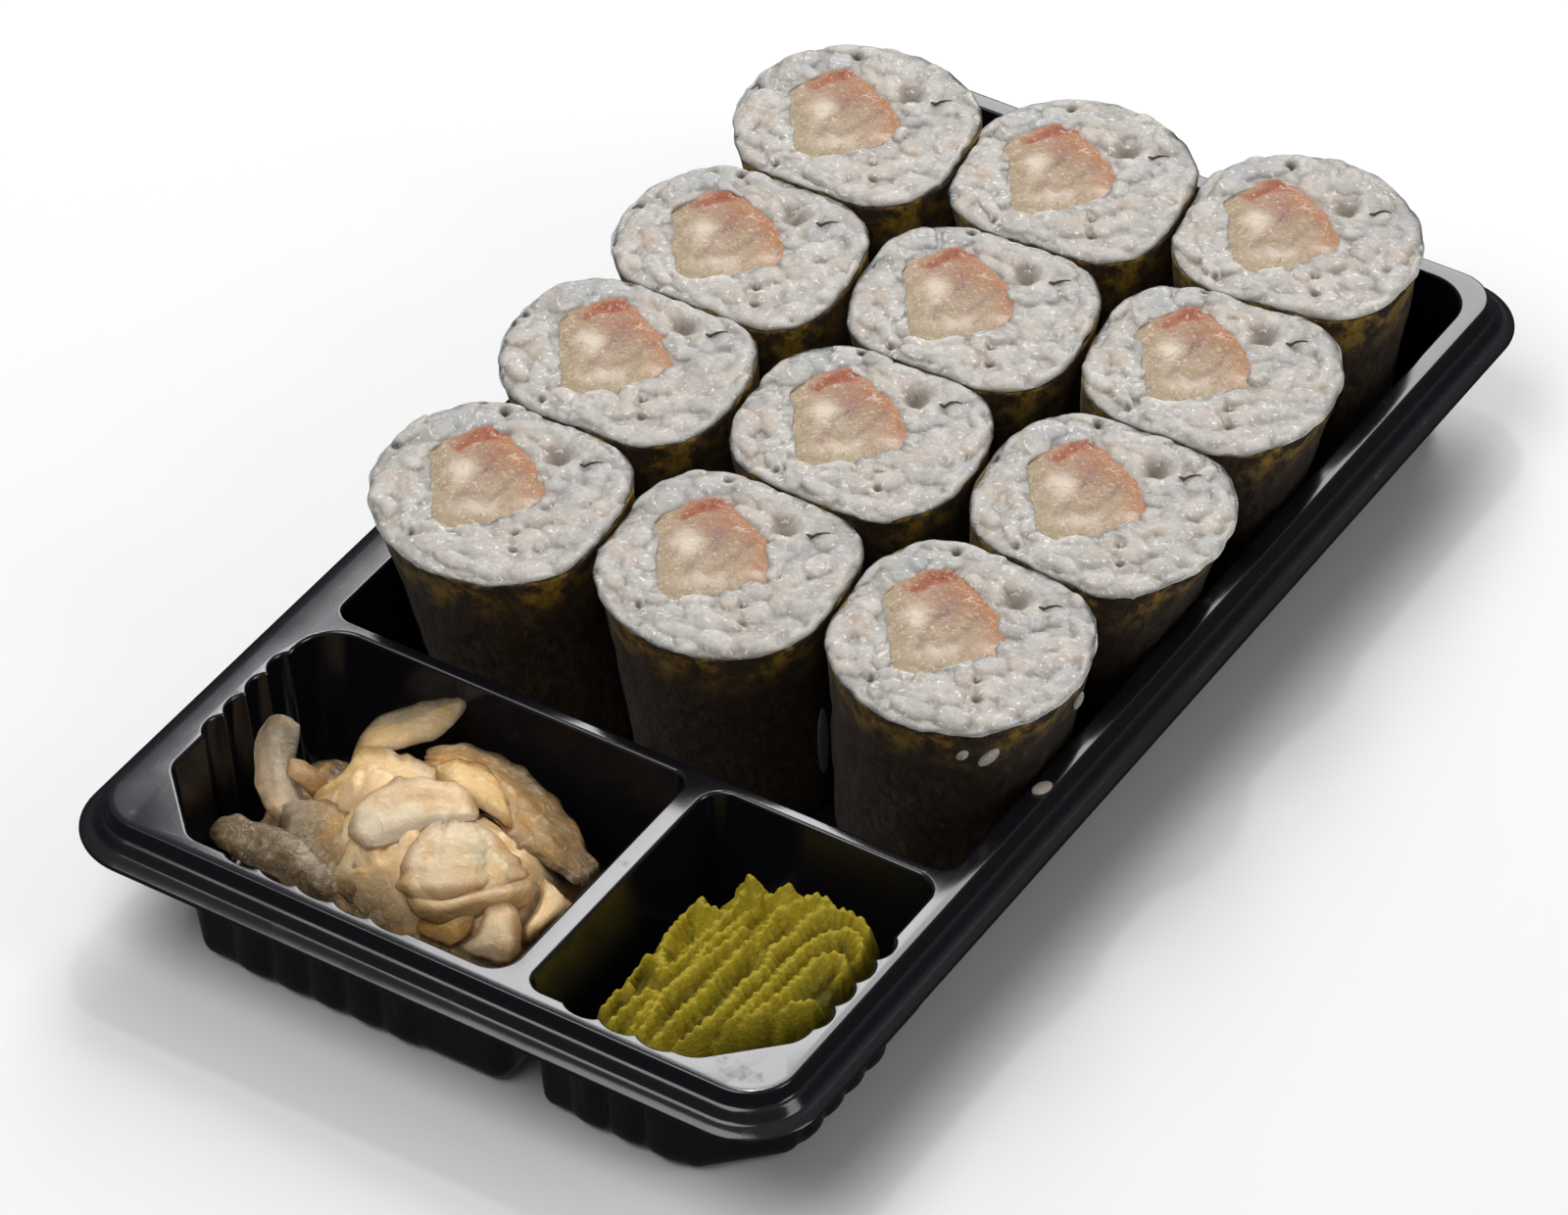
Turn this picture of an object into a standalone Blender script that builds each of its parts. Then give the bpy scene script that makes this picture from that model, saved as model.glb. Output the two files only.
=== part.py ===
"""Takeaway sushi tray: a black tray with three compartments, twelve rolls, ginger and wasabi.

All sizes are in millimetres until add_object() turns them into metres. The origin is the middle of
the tray's underside. +Y runs from the two small compartments to the far end of the roll
compartment, and +Z is up.
"""
import math
import random

import bmesh
import bpy
from mathutils import Vector

MM = 0.001
GAP = 0.35

# Tray
FLANGE_LENGTH = 228.0
FLANGE_WIDTH = 122.0
FLANGE_RADIUS = 7.9
TRAY_HEIGHT = 26.5
WALL = 0.8
# Rim, from the flat top outwards: distance past the flange edge, and height above its top
RIM_TOP = ((-0.9, 0.0), (-0.2, -0.2), (0.1, -0.7), (0.6, -2.4),
           (1.2, -2.7), (2.3, -4.4), (3.5, -4.7), (4.6, -5.3))
RIM_UNDERSIDE = ((4.6, -6.0), (3.3, -5.5), (1.7, -5.2), (0.2, -3.2), (-0.3, -WALL))
# The rounded edge of each opening, from the flat top inwards and down
OPENING_EDGE = ((-0.6, 0.0), (-0.1, -0.2), (0.05, -0.7))

# Compartments, in the plane of the flange's top
DIVIDER_WIDTH = 4.0
RIDGE_WIDTH = 2.5
SIDE_BORDER = 5.6
FRONT_BORDER = 3.0
RIGHT_BORDER = 3.5
BACK_BORDER = 3.7
SMALL_LENGTH = 51.5
GINGER_WIDTH = 68.3
CORNER_CUT = 11.5
SMALL_DRAFT = math.radians(5.0)
LARGE_DRAFT = math.radians(7.5)
SMALL_FLOOR_RADIUS = 3.5
LARGE_FLOOR_RADIUS = 2.5
CORNER_STEPS = 3
FLUTE_STEPS = 3

# Rolls: each row's middle, the spacing of its rolls and how far it runs to the back per mm to the right
ROWS = (
    (0.6, -29.6, 39.2, 0.107),
    (1.3, 8.8, 41.0, 0.110),
    (-0.1, 45.0, 40.0, 0.168),
    (-3.3, 82.5, 38.2, 0.157),
)
ROLL_TOP = 43.0
ROLL_SIDES = 20
TOP_RADIUS = 21.9
BELT_RADIUS = 19.9
BASE_RADIUS = 18.4
OVAL = 0.045
OVAL_DIRECTION = math.radians(122.0)
BASE_SPACING = 34.0
ROW_SQUEEZE = 0.93
ROLL_SHARPNESS = 22
NEIGHBOUR_REACH = 62.0
BELT_CLEARANCE = 0.5
SEAWEED = 0.8
SEAWEED_DROP = 0.7
SEAWEED_WAVE = 0.25
RICE_RINGS = (0.0, 0.22, 0.5, 0.78, 1.0)
RICE_DROP = 0.45
RICE_DOME = 0.9
RICE_BUMP = 0.55

# Fish filling: the block's four sides as direction in degrees and distance from its middle
FISH_OFFSET = (-4.3, 2.8)
FISH_SIDES = ((131.0, 11.8), (48.0, 7.6), (-53.0, 12.6), (-140.0, 8.8))
FISH_SHARPNESS = 9
FISH_BASE_SCALE = 0.66
FISH_SHOULDER = 0.72

# Pickled ginger: heights from the flange's top, places from the tray's middle
GINGER_MIDDLE = (-21.0, -85.0)
GINGER_SIDES = 18
GINGER_SHARPNESS = 16
GINGER_RINGS = (1.0, 0.82, 0.58, 0.3)
GINGER_EDGE_DROP = 4.0
SLICE_STEPS = 7
SLICE_COLUMNS = 3
SLICE_THICKNESS = 1.3

# Wasabi: piped from the front to the back in parallel ridges
WASABI_LEFT = 22.5
WASABI_RIGHT = 55.2
WASABI_FRONT = -107.2
WASABI_BACK = -67.5
WASABI_RIDGES = 7
WASABI_ROWS = 10
RIDGE_DEPTH = 2.6
SPIKE_HEIGHT = 7.0

rng = random.Random(12)


def clear_scene():
    for item in list(bpy.data.objects):
        bpy.data.objects.remove(item, do_unlink=True)


def make_material(name, colour, roughness, metallic=0.0):
    material = bpy.data.materials.new(name)
    material.use_nodes = True
    shader = material.node_tree.nodes["Principled BSDF"]
    shader.inputs["Base Color"].default_value = (*colour, 1.0)
    shader.inputs["Roughness"].default_value = roughness
    shader.inputs["Metallic"].default_value = metallic
    material.diffuse_color = (*colour, 1.0)
    return material


def add_object(bm, name, material):
    """A closed mesh in millimetres becomes a named object in metres, its faces pointing out."""
    bmesh.ops.recalc_face_normals(bm, faces=bm.faces)
    if bm.calc_volume(signed=True) < 0:
        bmesh.ops.reverse_faces(bm, faces=bm.faces)
    bmesh.ops.scale(bm, vec=(MM, MM, MM), verts=bm.verts)
    mesh = bpy.data.meshes.new(name)
    bm.to_mesh(mesh)
    bm.free()
    mesh.materials.append(material)
    item = bpy.data.objects.new(name, mesh)
    bpy.context.scene.collection.objects.link(item)
    return item


# Loops, lofts and caps

def add_loop(bm, outline, height):
    """One ring of vertices; the height is a number or one for each point."""
    heights = height if isinstance(height, (list, tuple)) else [height] * len(outline)
    return [bm.verts.new((x, y, z)) for (x, y), z in zip(outline, heights)]


def bridge(bm, first, second):
    count = len(first)
    for i in range(count):
        j = (i + 1) % count
        bm.faces.new((first[i], first[j], second[j]))
        bm.faces.new((first[i], second[j], second[i]))


def bridge_all(bm, loops):
    for first, second in zip(loops, loops[1:]):
        bridge(bm, first, second)


def fill(bm, loops):
    """The flat region inside the first loop and outside the others."""
    edges = [bm.edges.get((loop[i - 1], loop[i])) or bm.edges.new((loop[i - 1], loop[i]))
             for loop in loops for i in range(len(loop))]
    bmesh.ops.triangle_fill(bm, use_beauty=True, edges=edges)


def fan(bm, loop, centre):
    middle = bm.verts.new(centre)
    for i in range(len(loop)):
        bm.faces.new((loop[i - 1], loop[i], middle))


# Tray

class Compartment:
    """A pocket with straight sides, rounded or cut corners and vertical flutes along some sides."""

    def __init__(self, corners, draft, floor_radius, flutes=()):
        """A corner is x, y and radius; flutes are side, start, count, pitch and depth."""
        self.corners = corners
        self.draft = draft
        self.floor_radius = floor_radius
        self.flutes = {flute[0]: flute[1:] for flute in flutes}
        xs = [corner[0] for corner in corners]
        ys = [corner[1] for corner in corners]
        self.left, self.right = min(xs), max(xs)
        self.front, self.back = min(ys), max(ys)
        self.middle = Vector(((self.left + self.right) / 2.0, (self.front + self.back) / 2.0))

    def outline(self, inset, flute_scale=1.0):
        """Points counterclockwise, the whole outline moved inwards by inset."""
        points = []
        count = len(self.corners)
        for i, (x, y, radius) in enumerate(self.corners):
            before = Vector(self.corners[i - 1][:2])
            here = Vector((x, y))
            after = Vector(self.corners[(i + 1) % count][:2])
            arrive = (here - before).normalized()
            leave = (after - here).normalized()
            points += rounded_corner(here, arrive, leave, radius, inset)
            if i in self.flutes:
                points += self.fluted_side(here, leave, inset, flute_scale, *self.flutes[i])
        return points

    def fluted_side(self, corner, along, inset, scale, start, count, pitch, depth):
        inwards = Vector((-along.y, along.x))
        points = []
        for flute in range(count):
            for step in range(FLUTE_STEPS):
                u = step / FLUTE_STEPS
                bulge = depth * scale * 4.0 * u * (1.0 - u)
                place = corner + along * (start + pitch * (flute + u)) + inwards * (inset - bulge)
                points.append(tuple(place))
        points.append(tuple(corner + along * (start + pitch * count) + inwards * inset))
        return points

    def wall_inset(self, depth):
        return depth * math.tan(self.draft)

    def profile(self, thickness):
        """Inset, height above the flange's top and flute scale, from the opening to the floor."""
        floor = TRAY_HEIGHT - WALL
        bend_depth = floor - self.floor_radius
        bend_inset = self.wall_inset(bend_depth) + self.floor_radius
        steps = []
        for angle, flute_scale in ((0.0, 0.9), (45.0, 0.6), (90.0, 0.3)):
            reach = self.floor_radius + thickness
            turn = math.radians(angle)
            height = -bend_depth - reach * math.sin(turn)
            steps.append((bend_inset - reach * math.cos(turn), height, flute_scale))
        return steps

    def floor_limit(self):
        return self.profile(0.0)[-1][0]


def rounded_corner(corner, arrive, leave, radius, inset):
    """The arc at one corner of an outline that is moved inwards by inset."""
    turn = arrive.angle(leave)
    inwards_before = Vector((-arrive.y, arrive.x))
    inwards_after = Vector((-leave.y, leave.x))
    bisector = (inwards_before + inwards_after).normalized()
    arc_radius = max(radius - inset, 0.8)
    centre = corner + bisector * ((inset + arc_radius) / math.cos(turn / 2.0))
    first = math.atan2(-inwards_before.y, -inwards_before.x)
    return [(centre.x + arc_radius * math.cos(first + turn * step / CORNER_STEPS),
             centre.y + arc_radius * math.sin(first + turn * step / CORNER_STEPS))
            for step in range(CORNER_STEPS + 1)]


def tray_layout():
    """The three compartments, placed from the flange's edges."""
    left = -FLANGE_WIDTH / 2.0
    right = FLANGE_WIDTH / 2.0
    front = -FLANGE_LENGTH / 2.0
    back = FLANGE_LENGTH / 2.0
    small_front = front + FRONT_BORDER
    small_back = small_front + SMALL_LENGTH
    ginger_left = left + SIDE_BORDER
    ginger_right = ginger_left + GINGER_WIDTH
    wasabi_left = ginger_right + DIVIDER_WIDTH
    wasabi_right = right - RIGHT_BORDER
    ginger = Compartment(
        ((ginger_left, small_front + CORNER_CUT, 4.0), (ginger_left + CORNER_CUT, small_front, 4.0),
         (ginger_right, small_front, 4.5), (ginger_right, small_back, 3.0), (ginger_left, small_back, 7.0)),
        SMALL_DRAFT, SMALL_FLOOR_RADIUS,
        flutes=((1, 6.5, 5, 6.75, 0.95), (4, 8.7, 4, 5.75, 1.3)))
    wasabi = Compartment(
        ((wasabi_left, small_front, 3.0), (wasabi_right - CORNER_CUT, small_front, 5.0),
         (wasabi_right, small_front + CORNER_CUT, 5.0), (wasabi_right, small_back, 4.0),
         (wasabi_left, small_back, 4.0)),
        SMALL_DRAFT, SMALL_FLOOR_RADIUS,
        flutes=((0, 7.0, 3, 6.4, 1.1), (2, 2.9, 4, 5.85, 1.3)))
    roll_left = left + SIDE_BORDER + 0.7
    roll_right = wasabi_right
    roll_front = small_back + RIDGE_WIDTH
    roll_back = back - BACK_BORDER
    rolls = Compartment(
        ((roll_left, roll_front, 3.0), (roll_right, roll_front, 3.0), (roll_right, roll_back, 8.0),
         (roll_left, roll_back, 8.0)),
        LARGE_DRAFT, LARGE_FLOOR_RADIUS)
    return ginger, wasabi, rolls


def rim_outline(outset):
    half_width = FLANGE_WIDTH / 2.0
    half_length = FLANGE_LENGTH / 2.0
    edge = Compartment(
        ((-half_width, -half_length, FLANGE_RADIUS), (half_width, -half_length, FLANGE_RADIUS),
         (half_width, half_length, FLANGE_RADIUS), (-half_width, half_length, FLANGE_RADIUS)), 0.0, 0.0)
    return edge.outline(-outset)


def make_tray(compartments, material):
    bm = bmesh.new()
    rim = [add_loop(bm, rim_outline(outset), TRAY_HEIGHT + height)
           for outset, height in RIM_TOP + RIM_UNDERSIDE]
    bridge_all(bm, rim)
    openings = []
    undersides = []
    for compartment in compartments:
        inside = [(inset, height, 1.0) for inset, height in OPENING_EDGE] + compartment.profile(0.0)
        outside = [(-WALL, -WALL, 1.0)] + compartment.profile(WALL)
        inner, outer = [
            [add_loop(bm, compartment.outline(inset, scale), TRAY_HEIGHT + height)
             for inset, height, scale in profile] for profile in (inside, outside)]
        bridge_all(bm, inner)
        bridge_all(bm, outer)
        fill(bm, [inner[-1]])
        fill(bm, [outer[-1]])
        openings.append(inner[0])
        undersides.append(outer[0])
    fill(bm, [rim[0]] + openings)
    fill(bm, [rim[-1]] + undersides)
    return add_object(bm, "tray", material)


# Outlines that are held by flat limits: direction in radians and distance of each limit

def held_radius(angle, radius, limits, sharpness):
    """A soft minimum of a radius and of the distances to the limits along this angle."""
    total = radius ** -sharpness if radius else 0.0
    for direction, distance in limits:
        facing = math.cos(angle - direction)
        if facing > 0.05:
            total += (distance / facing) ** -sharpness
    return total ** (-1.0 / sharpness)


def round_trip(count):
    return [2.0 * math.pi * k / count for k in range(count)]


def polar(centre, radii):
    angles = round_trip(len(radii))
    return [(centre[0] + r * math.cos(a), centre[1] + r * math.sin(a)) for a, r in zip(angles, radii)]


# Rolls

class Roll:
    def __init__(self, row, column, compartment):
        x, y, spacing, skew = ROWS[row]
        self.name = "r%dc%d" % (row + 1, column + 1)
        step = column - 1
        self.top = Vector((x + spacing * step, y + spacing * step * skew))
        base_y = compartment.middle.y + (self.top.y - compartment.middle.y) * ROW_SQUEEZE
        self.base = Vector((compartment.middle.x + BASE_SPACING * step, base_y))
        self.phases = [rng.uniform(0.0, 2.0 * math.pi) for _ in range(3)]

    def centre(self, height):
        return self.base.lerp(self.top, height / ROLL_TOP)

    def wobble(self, angle):
        """How far from round the roll is pressed."""
        oval = OVAL * math.cos(2.0 * (angle - OVAL_DIRECTION))
        squeeze = 0.006 * math.sin(2.0 * angle + self.phases[0])
        dents = 0.008 * math.sin(3.0 * angle + self.phases[1])
        return 1.0 + oval + squeeze + dents


def wall_limits(compartment, centre, clearance):
    return [(0.0, compartment.right - clearance - centre.x),
            (math.pi, centre.x - compartment.left - clearance),
            (math.pi / 2.0, compartment.back - clearance - centre.y),
            (-math.pi / 2.0, centre.y - compartment.front - clearance)]


def roll_radii(roll, rolls, height, free_radius, walls):
    """The roll's outline at one height, held by its neighbours and by the limits of the walls."""
    centre = roll.centre(height)
    limits = list(walls)
    for other in rolls:
        offset = other.centre(height) - centre
        if other is not roll and offset.length < NEIGHBOUR_REACH:
            limits.append((math.atan2(offset.y, offset.x), (offset.length - GAP) / 2.0))
    return [held_radius(a, free_radius * roll.wobble(a), limits, ROLL_SHARPNESS)
            for a in round_trip(ROLL_SIDES)]


def roll_levels(roll, rolls, compartment):
    """Height, middle and radii at the base, at the flange and at the cut face."""
    levels = []
    for height, free_radius, clearance in ((WALL + GAP, BASE_RADIUS, compartment.floor_limit() + GAP),
                                           (TRAY_HEIGHT, BELT_RADIUS, BELT_CLEARANCE),
                                           (ROLL_TOP, TOP_RADIUS, None)):
        centre = roll.centre(height)
        walls = [] if clearance is None else wall_limits(compartment, centre, clearance)
        levels.append((height, centre, roll_radii(roll, rolls, height, free_radius, walls)))
    return levels


def seaweed_edge(roll):
    return [ROLL_TOP - SEAWEED_DROP + SEAWEED_WAVE * math.sin(3.0 * a + roll.phases[2])
            for a in round_trip(ROLL_SIDES)]


def make_seaweed(roll, levels, material):
    """The wrap: a thin wall round the rice, its upper edge a little wavy."""
    bm = bmesh.new()
    outer = []
    inner = []
    for height, centre, radii in levels:
        heights = seaweed_edge(roll) if height == ROLL_TOP else height
        outer.append(add_loop(bm, polar(centre, radii), heights))
        inner.append(add_loop(bm, polar(centre, [r - SEAWEED for r in radii]), heights))
    bridge_all(bm, outer)
    bridge_all(bm, inner)
    bridge(bm, outer[-1], inner[-1])
    bridge(bm, outer[0], inner[0])
    return add_object(bm, "seaweed_" + roll.name, material)


def fish_outline(centre, scale, clearance):
    """The filling's block across the roll; it is smaller where the roll narrows to its base."""
    limits = [(math.radians(direction), distance * scale) for direction, distance in FISH_SIDES]
    radii = [held_radius(a, 0.0, limits, FISH_SHARPNESS) + clearance for a in round_trip(ROLL_SIDES)]
    return polar(centre + Vector(FISH_OFFSET) * scale, radii)


def make_rice(roll, levels, material):
    """The rice: a ring with the filling's hole through it and grain-sized bumps on its cut face."""
    bm = bmesh.new()
    outlines = [polar(centre, [r - SEAWEED - GAP for r in radii]) for _, centre, radii in levels]
    loops = [add_loop(bm, outline, level[0]) for outline, level in zip(outlines[:-1], levels)]
    rim = outlines[-1]
    hole = fish_outline(levels[-1][1], 1.0, GAP)
    hole_base = fish_outline(levels[0][1], FISH_BASE_SCALE, GAP)
    for number, share in enumerate(RICE_RINGS):
        ring = [(a[0] + (b[0] - a[0]) * share, a[1] + (b[1] - a[1]) * share) for a, b in zip(rim, hole)]
        face = ROLL_TOP - RICE_DROP + RICE_DOME * math.sin(math.pi * share)
        bumps = 0.0 if share in (0.0, 1.0) else RICE_BUMP
        heights = [face + bumps * ((-1) ** (k + number) * 0.6 + rng.uniform(-0.5, 0.5))
                   for k in range(ROLL_SIDES)]
        loops.append(add_loop(bm, ring, heights))
    loops.append(add_loop(bm, hole_base, levels[0][0]))
    bridge_all(bm, loops + loops[:1])
    return add_object(bm, "rice_" + roll.name, material)


def make_fish(roll, levels, material):
    """The filling; its sides are split into triangles as the rice's hole is, so that the gap stays even."""
    bm = bmesh.new()
    outline = fish_outline(levels[-1][1], 1.0, 0.0)
    centre = levels[-1][1] + Vector(FISH_OFFSET)
    inner = [tuple(centre.lerp(Vector(point), FISH_SHOULDER)) for point in outline]
    swell = [ROLL_TOP + 0.25 + rng.uniform(-0.15, 0.15) for _ in range(ROLL_SIDES)]
    base = add_loop(bm, fish_outline(levels[0][1], FISH_BASE_SCALE, 0.0), levels[0][0])
    edge = add_loop(bm, outline, ROLL_TOP - 0.5)
    shoulder = add_loop(bm, inner, swell)
    bridge_all(bm, [shoulder, edge, base])
    fan(bm, shoulder, (centre.x, centre.y, ROLL_TOP + 0.45))
    fill(bm, [base])
    return add_object(bm, "fish_" + roll.name, material)


def make_rolls(compartment, materials):
    rolls = [Roll(row, column, compartment) for row in range(len(ROWS)) for column in range(3)]
    for roll in rolls:
        levels = roll_levels(roll, rolls, compartment)
        make_seaweed(roll, levels, materials["seaweed"])
        make_rice(roll, levels, materials["rice"])
        make_fish(roll, levels, materials["fish"])


# Pickled ginger

class Slice:
    """A thin wavy slice that follows a curve through a few points.

    The points are places from the tray's middle and heights from the flange's top; across is the
    direction of the slice's width at its start and at its end.
    """

    def __init__(self, points, widths, across_start, across_end, ruffle):
        self.points = [Vector(point) for point in points]
        self.widths = widths
        self.across = (Vector(across_start).normalized(), Vector(across_end).normalized())
        self.ruffle = ruffle

    def place(self, t):
        """A Catmull-Rom curve through the points, t from 0 to 1."""
        points = [self.points[0]] + self.points + [self.points[-1]]
        spans = len(self.points) - 1
        span = min(int(t * spans), spans - 1)
        u = t * spans - span
        a, b, c, d = points[span:span + 4]
        return 0.5 * (2.0 * b + (c - a) * u + (2.0 * a - 5.0 * b + 4.0 * c - d) * u ** 2
                      + (3.0 * b - a - 3.0 * c + d) * u ** 3)

    def width(self, t):
        spans = len(self.widths) - 1
        span = min(int(t * spans), spans - 1)
        u = t * spans - span
        return self.widths[span] * (1.0 - u) + self.widths[span + 1] * u

    def grid(self, steps, columns):
        """Rows of middle-surface points with their normals."""
        rows = []
        for i in range(steps + 1):
            t = i / steps
            here = self.place(t)
            along = (self.place(min(t + 0.02, 1.0)) - self.place(max(t - 0.02, 0.0))).normalized()
            across = self.across[0].lerp(self.across[1], t)
            across = (across - along * across.dot(along)).normalized()
            normal = along.cross(across)
            row = []
            for j in range(columns + 1):
                s = 2.0 * j / columns - 1.0
                wave = self.ruffle * (math.sin(7.0 * t + 2.4 * s) * 0.6 + s * s * math.cos(9.0 * t + s))
                row.append((here + across * s * self.width(t) / 2.0 + normal * wave, normal))
            rows.append(row)
        return rows


def slice_mesh(piece, steps, columns, thickness):
    """Both faces of the slice are split into triangles alike."""
    bm = bmesh.new()
    rows = piece.grid(steps, columns)
    faces = []
    for side in (0.5, -0.5):
        faces.append([[bm.verts.new(place + normal * thickness * side + Vector((0.0, 0.0, TRAY_HEIGHT)))
                       for place, normal in row] for row in rows])
    for verts in faces:
        for i in range(steps):
            for j in range(columns):
                bm.faces.new((verts[i][j], verts[i + 1][j], verts[i + 1][j + 1]))
                bm.faces.new((verts[i][j], verts[i + 1][j + 1], verts[i][j + 1]))
    upper, lower = [border(verts) for verts in faces]
    bridge(bm, upper, lower)
    return bm


def border(grid):
    """The vertices round the edge of a grid, in order."""
    bottom = grid[0]
    right = [row[-1] for row in grid[1:]]
    top = grid[-1][-2::-1]
    left = [row[0] for row in grid[-2:0:-1]]
    return bottom + right + top + left


def pocket_radii(compartment, centre, inset):
    """The outline of a pocket seen from a point inside it, moved inwards by inset."""
    limits = []
    for i, (x, y, _) in enumerate(compartment.corners):
        before = Vector(compartment.corners[i - 1][:2])
        edge = (Vector((x, y)) - before).normalized()
        outwards = Vector((edge.y, -edge.x))
        limits.append((math.atan2(outwards.y, outwards.x), (before - Vector(centre)).dot(outwards) - inset))
    return [held_radius(a, 0.0, limits, GINGER_SHARPNESS) for a in round_trip(GINGER_SIDES)]


def ginger_height(x, y):
    """The heap's bare top, from the flange's top: highest right of the middle, low at the front left."""
    high = 11.0 * math.exp(-((x + 13.0) / 22.0) ** 2 - ((y + 86.0) / 17.0) ** 2)
    low = -4.0 * math.exp(-((x + 45.0) / 13.0) ** 2 - ((y + 100.0) / 14.0) ** 2)
    return -8.5 + high + low


def ginger_core(compartment):
    bm = bmesh.new()
    radii = pocket_radii(compartment, GINGER_MIDDLE, compartment.floor_limit() + GAP)
    base = add_loop(bm, polar(GINGER_MIDDLE, radii), WALL + GAP)
    rings = []
    for share in GINGER_RINGS:
        outline = polar(GINGER_MIDDLE, [r * share for r in radii])
        drop = GINGER_EDGE_DROP if share == 1.0 else 0.0
        heights = [TRAY_HEIGHT + ginger_height(x, y) - drop + rng.uniform(-0.7, 0.7) for x, y in outline]
        rings.append(add_loop(bm, outline, heights))
    bridge_all(bm, [base] + rings)
    fan(bm, rings[-1], (*GINGER_MIDDLE, TRAY_HEIGHT + ginger_height(*GINGER_MIDDLE)))
    fill(bm, [base])
    return bm


def ginger_slices():
    """The slices that show, from the left wall round to the front right corner."""
    return (
        Slice(((-36, -95, -11), (-43.5, -89, -10), (-49, -81, -8), (-47.5, -77.5, -5.5)), (9, 9, 8, 6),
              (0.4, 0.9, 0.3), (0.9, 0.2, 0.5), 0.5),
        Slice(((-40, -80, -8), (-34, -74, -3.5), (-28.5, -67, -0.8), (-25.5, -62.3, -1)), (8, 10, 8, 3),
              (0.7, -0.7, 0.5), (0.7, -0.5, 0.6), 0.6),
        Slice(((-39, -78, -3), (-30, -80, 1), (-20, -83, 4.5), (-8, -86, 4)), (7, 12, 13, 9),
              (0.2, 1.0, -0.2), (0.3, 1.0, -0.1), 0.8),
        Slice(((-28, -75, -1), (-14, -76, 3), (-1, -79.5, 2.5), (9.8, -86, -1.5)), (8, 12, 12, 8),
              (0.3, 1.0, 0.2), (0.5, 0.7, 0.6), 0.7),
        Slice(((-34, -88, -3), (-25, -92, 1), (-15, -90, 3.5), (-6, -84, 5)), (8, 12, 12, 8),
              (0.3, -0.9, 0.4), (0.4, -0.9, 0.1), 0.8),
        Slice(((-16, -87, 5), (-8, -93, 4.5), (0, -99, 0.5), (4, -104, -4.5)), (12, 16, 16, 12),
              (0.9, 0.4, 0.0), (0.9, 0.4, 0.0), 0.9),
        Slice(((-2, -82, -0.5), (4, -87, -2.5), (7.5, -92.5, -4.5), (6, -99, -8)), (7, 8, 8, 6),
              (0.8, 0.2, 0.5), (0.8, 0.3, 0.4), 0.6),
        Slice(((-49, -98, -12), (-42, -98, -10), (-32, -100, -9.5), (-20, -104, -9)), (8, 11, 10, 8),
              (0.1, 1.0, 0.1), (0.2, 1.0, 0.3), 0.8),
    )


def make_ginger(compartment, material):
    """The heap: its core with the slices that show fused on."""
    pieces = [slice_mesh(piece, SLICE_STEPS, SLICE_COLUMNS, SLICE_THICKNESS) for piece in ginger_slices()]
    heap = add_object(ginger_core(compartment), "ginger", material)
    group = bpy.data.collections.new("ginger_slices")
    bpy.context.scene.collection.children.link(group)
    for piece in pieces:
        item = add_object(piece, "slice", material)
        bpy.context.scene.collection.objects.unlink(item)
        group.objects.link(item)
    fuse(heap, group)
    return heap


def keep_outer_shell(mesh):
    """Fills the hollows that fusing seals and drops loose scraps: only the largest shell stays."""
    bm = bmesh.new()
    bm.from_mesh(mesh)
    unseen = set(bm.verts)
    shells = []
    while unseen:
        shell = set()
        edge = [unseen.pop()]
        while edge:
            vert = edge.pop()
            shell.add(vert)
            linked = [link.other_vert(vert) for link in vert.link_edges]
            edge += [other for other in linked if other in unseen]
            unseen.difference_update(linked)
        shells.append(shell)
    shells.sort(key=len)
    spare = [vert for shell in shells[:-1] for vert in shell]
    bmesh.ops.delete(bm, geom=spare, context="VERTS")
    bm.to_mesh(mesh)
    bm.free()


def fuse(item, group):
    """One Boolean union of an object with a collection, applied, and the collection removed."""
    union = item.modifiers.new("union", "BOOLEAN")
    union.operation = "UNION"
    union.operand_type = "COLLECTION"
    union.collection = group
    union.solver = "MANIFOLD"
    bpy.context.view_layer.update()
    depsgraph = bpy.context.evaluated_depsgraph_get()
    fused = bpy.data.meshes.new_from_object(item.evaluated_get(depsgraph))
    item.modifiers.clear()
    keep_outer_shell(fused)
    item.data = fused
    for piece in list(group.objects):
        bpy.data.objects.remove(piece, do_unlink=True)
    bpy.data.collections.remove(group)


# Wasabi

def wasabi_edges(v):
    """The left and right edge of the paste at a share v of its length, front to back."""
    y = WASABI_FRONT + (WASABI_BACK - WASABI_FRONT) * v
    left = WASABI_LEFT + 8.0 * max(0.0, (v - 0.62) / 0.38) ** 1.5 + 4.0 * max(0.0, 0.16 - v) / 0.16
    cut_corner = y + 146.5
    right = min(WASABI_RIGHT - 2.5 * max(0.0, v - 0.8) / 0.2, cut_corner)
    return y, left, right


def wasabi_height(u, v):
    """The paste's top from the flange's top; ridges run front to back, their crests serrated."""
    slope = -11.0 + 7.5 * min(1.0, u * 1.7) + 1.5 * math.sin(math.pi * v)
    front = -3.0 * max(0.0, 0.15 - v) / 0.15
    crest = 0.5 - abs(math.cos(math.pi * WASABI_RIDGES * u))
    spike = SPIKE_HEIGHT * max(0.0, (v - 0.8) / 0.2) * max(0.0, crest) * (1.0 - u)
    return slope + front + RIDGE_DEPTH * crest + spike + 0.5 * math.sin(9.0 * v * math.pi + 5.0 * u)


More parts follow.
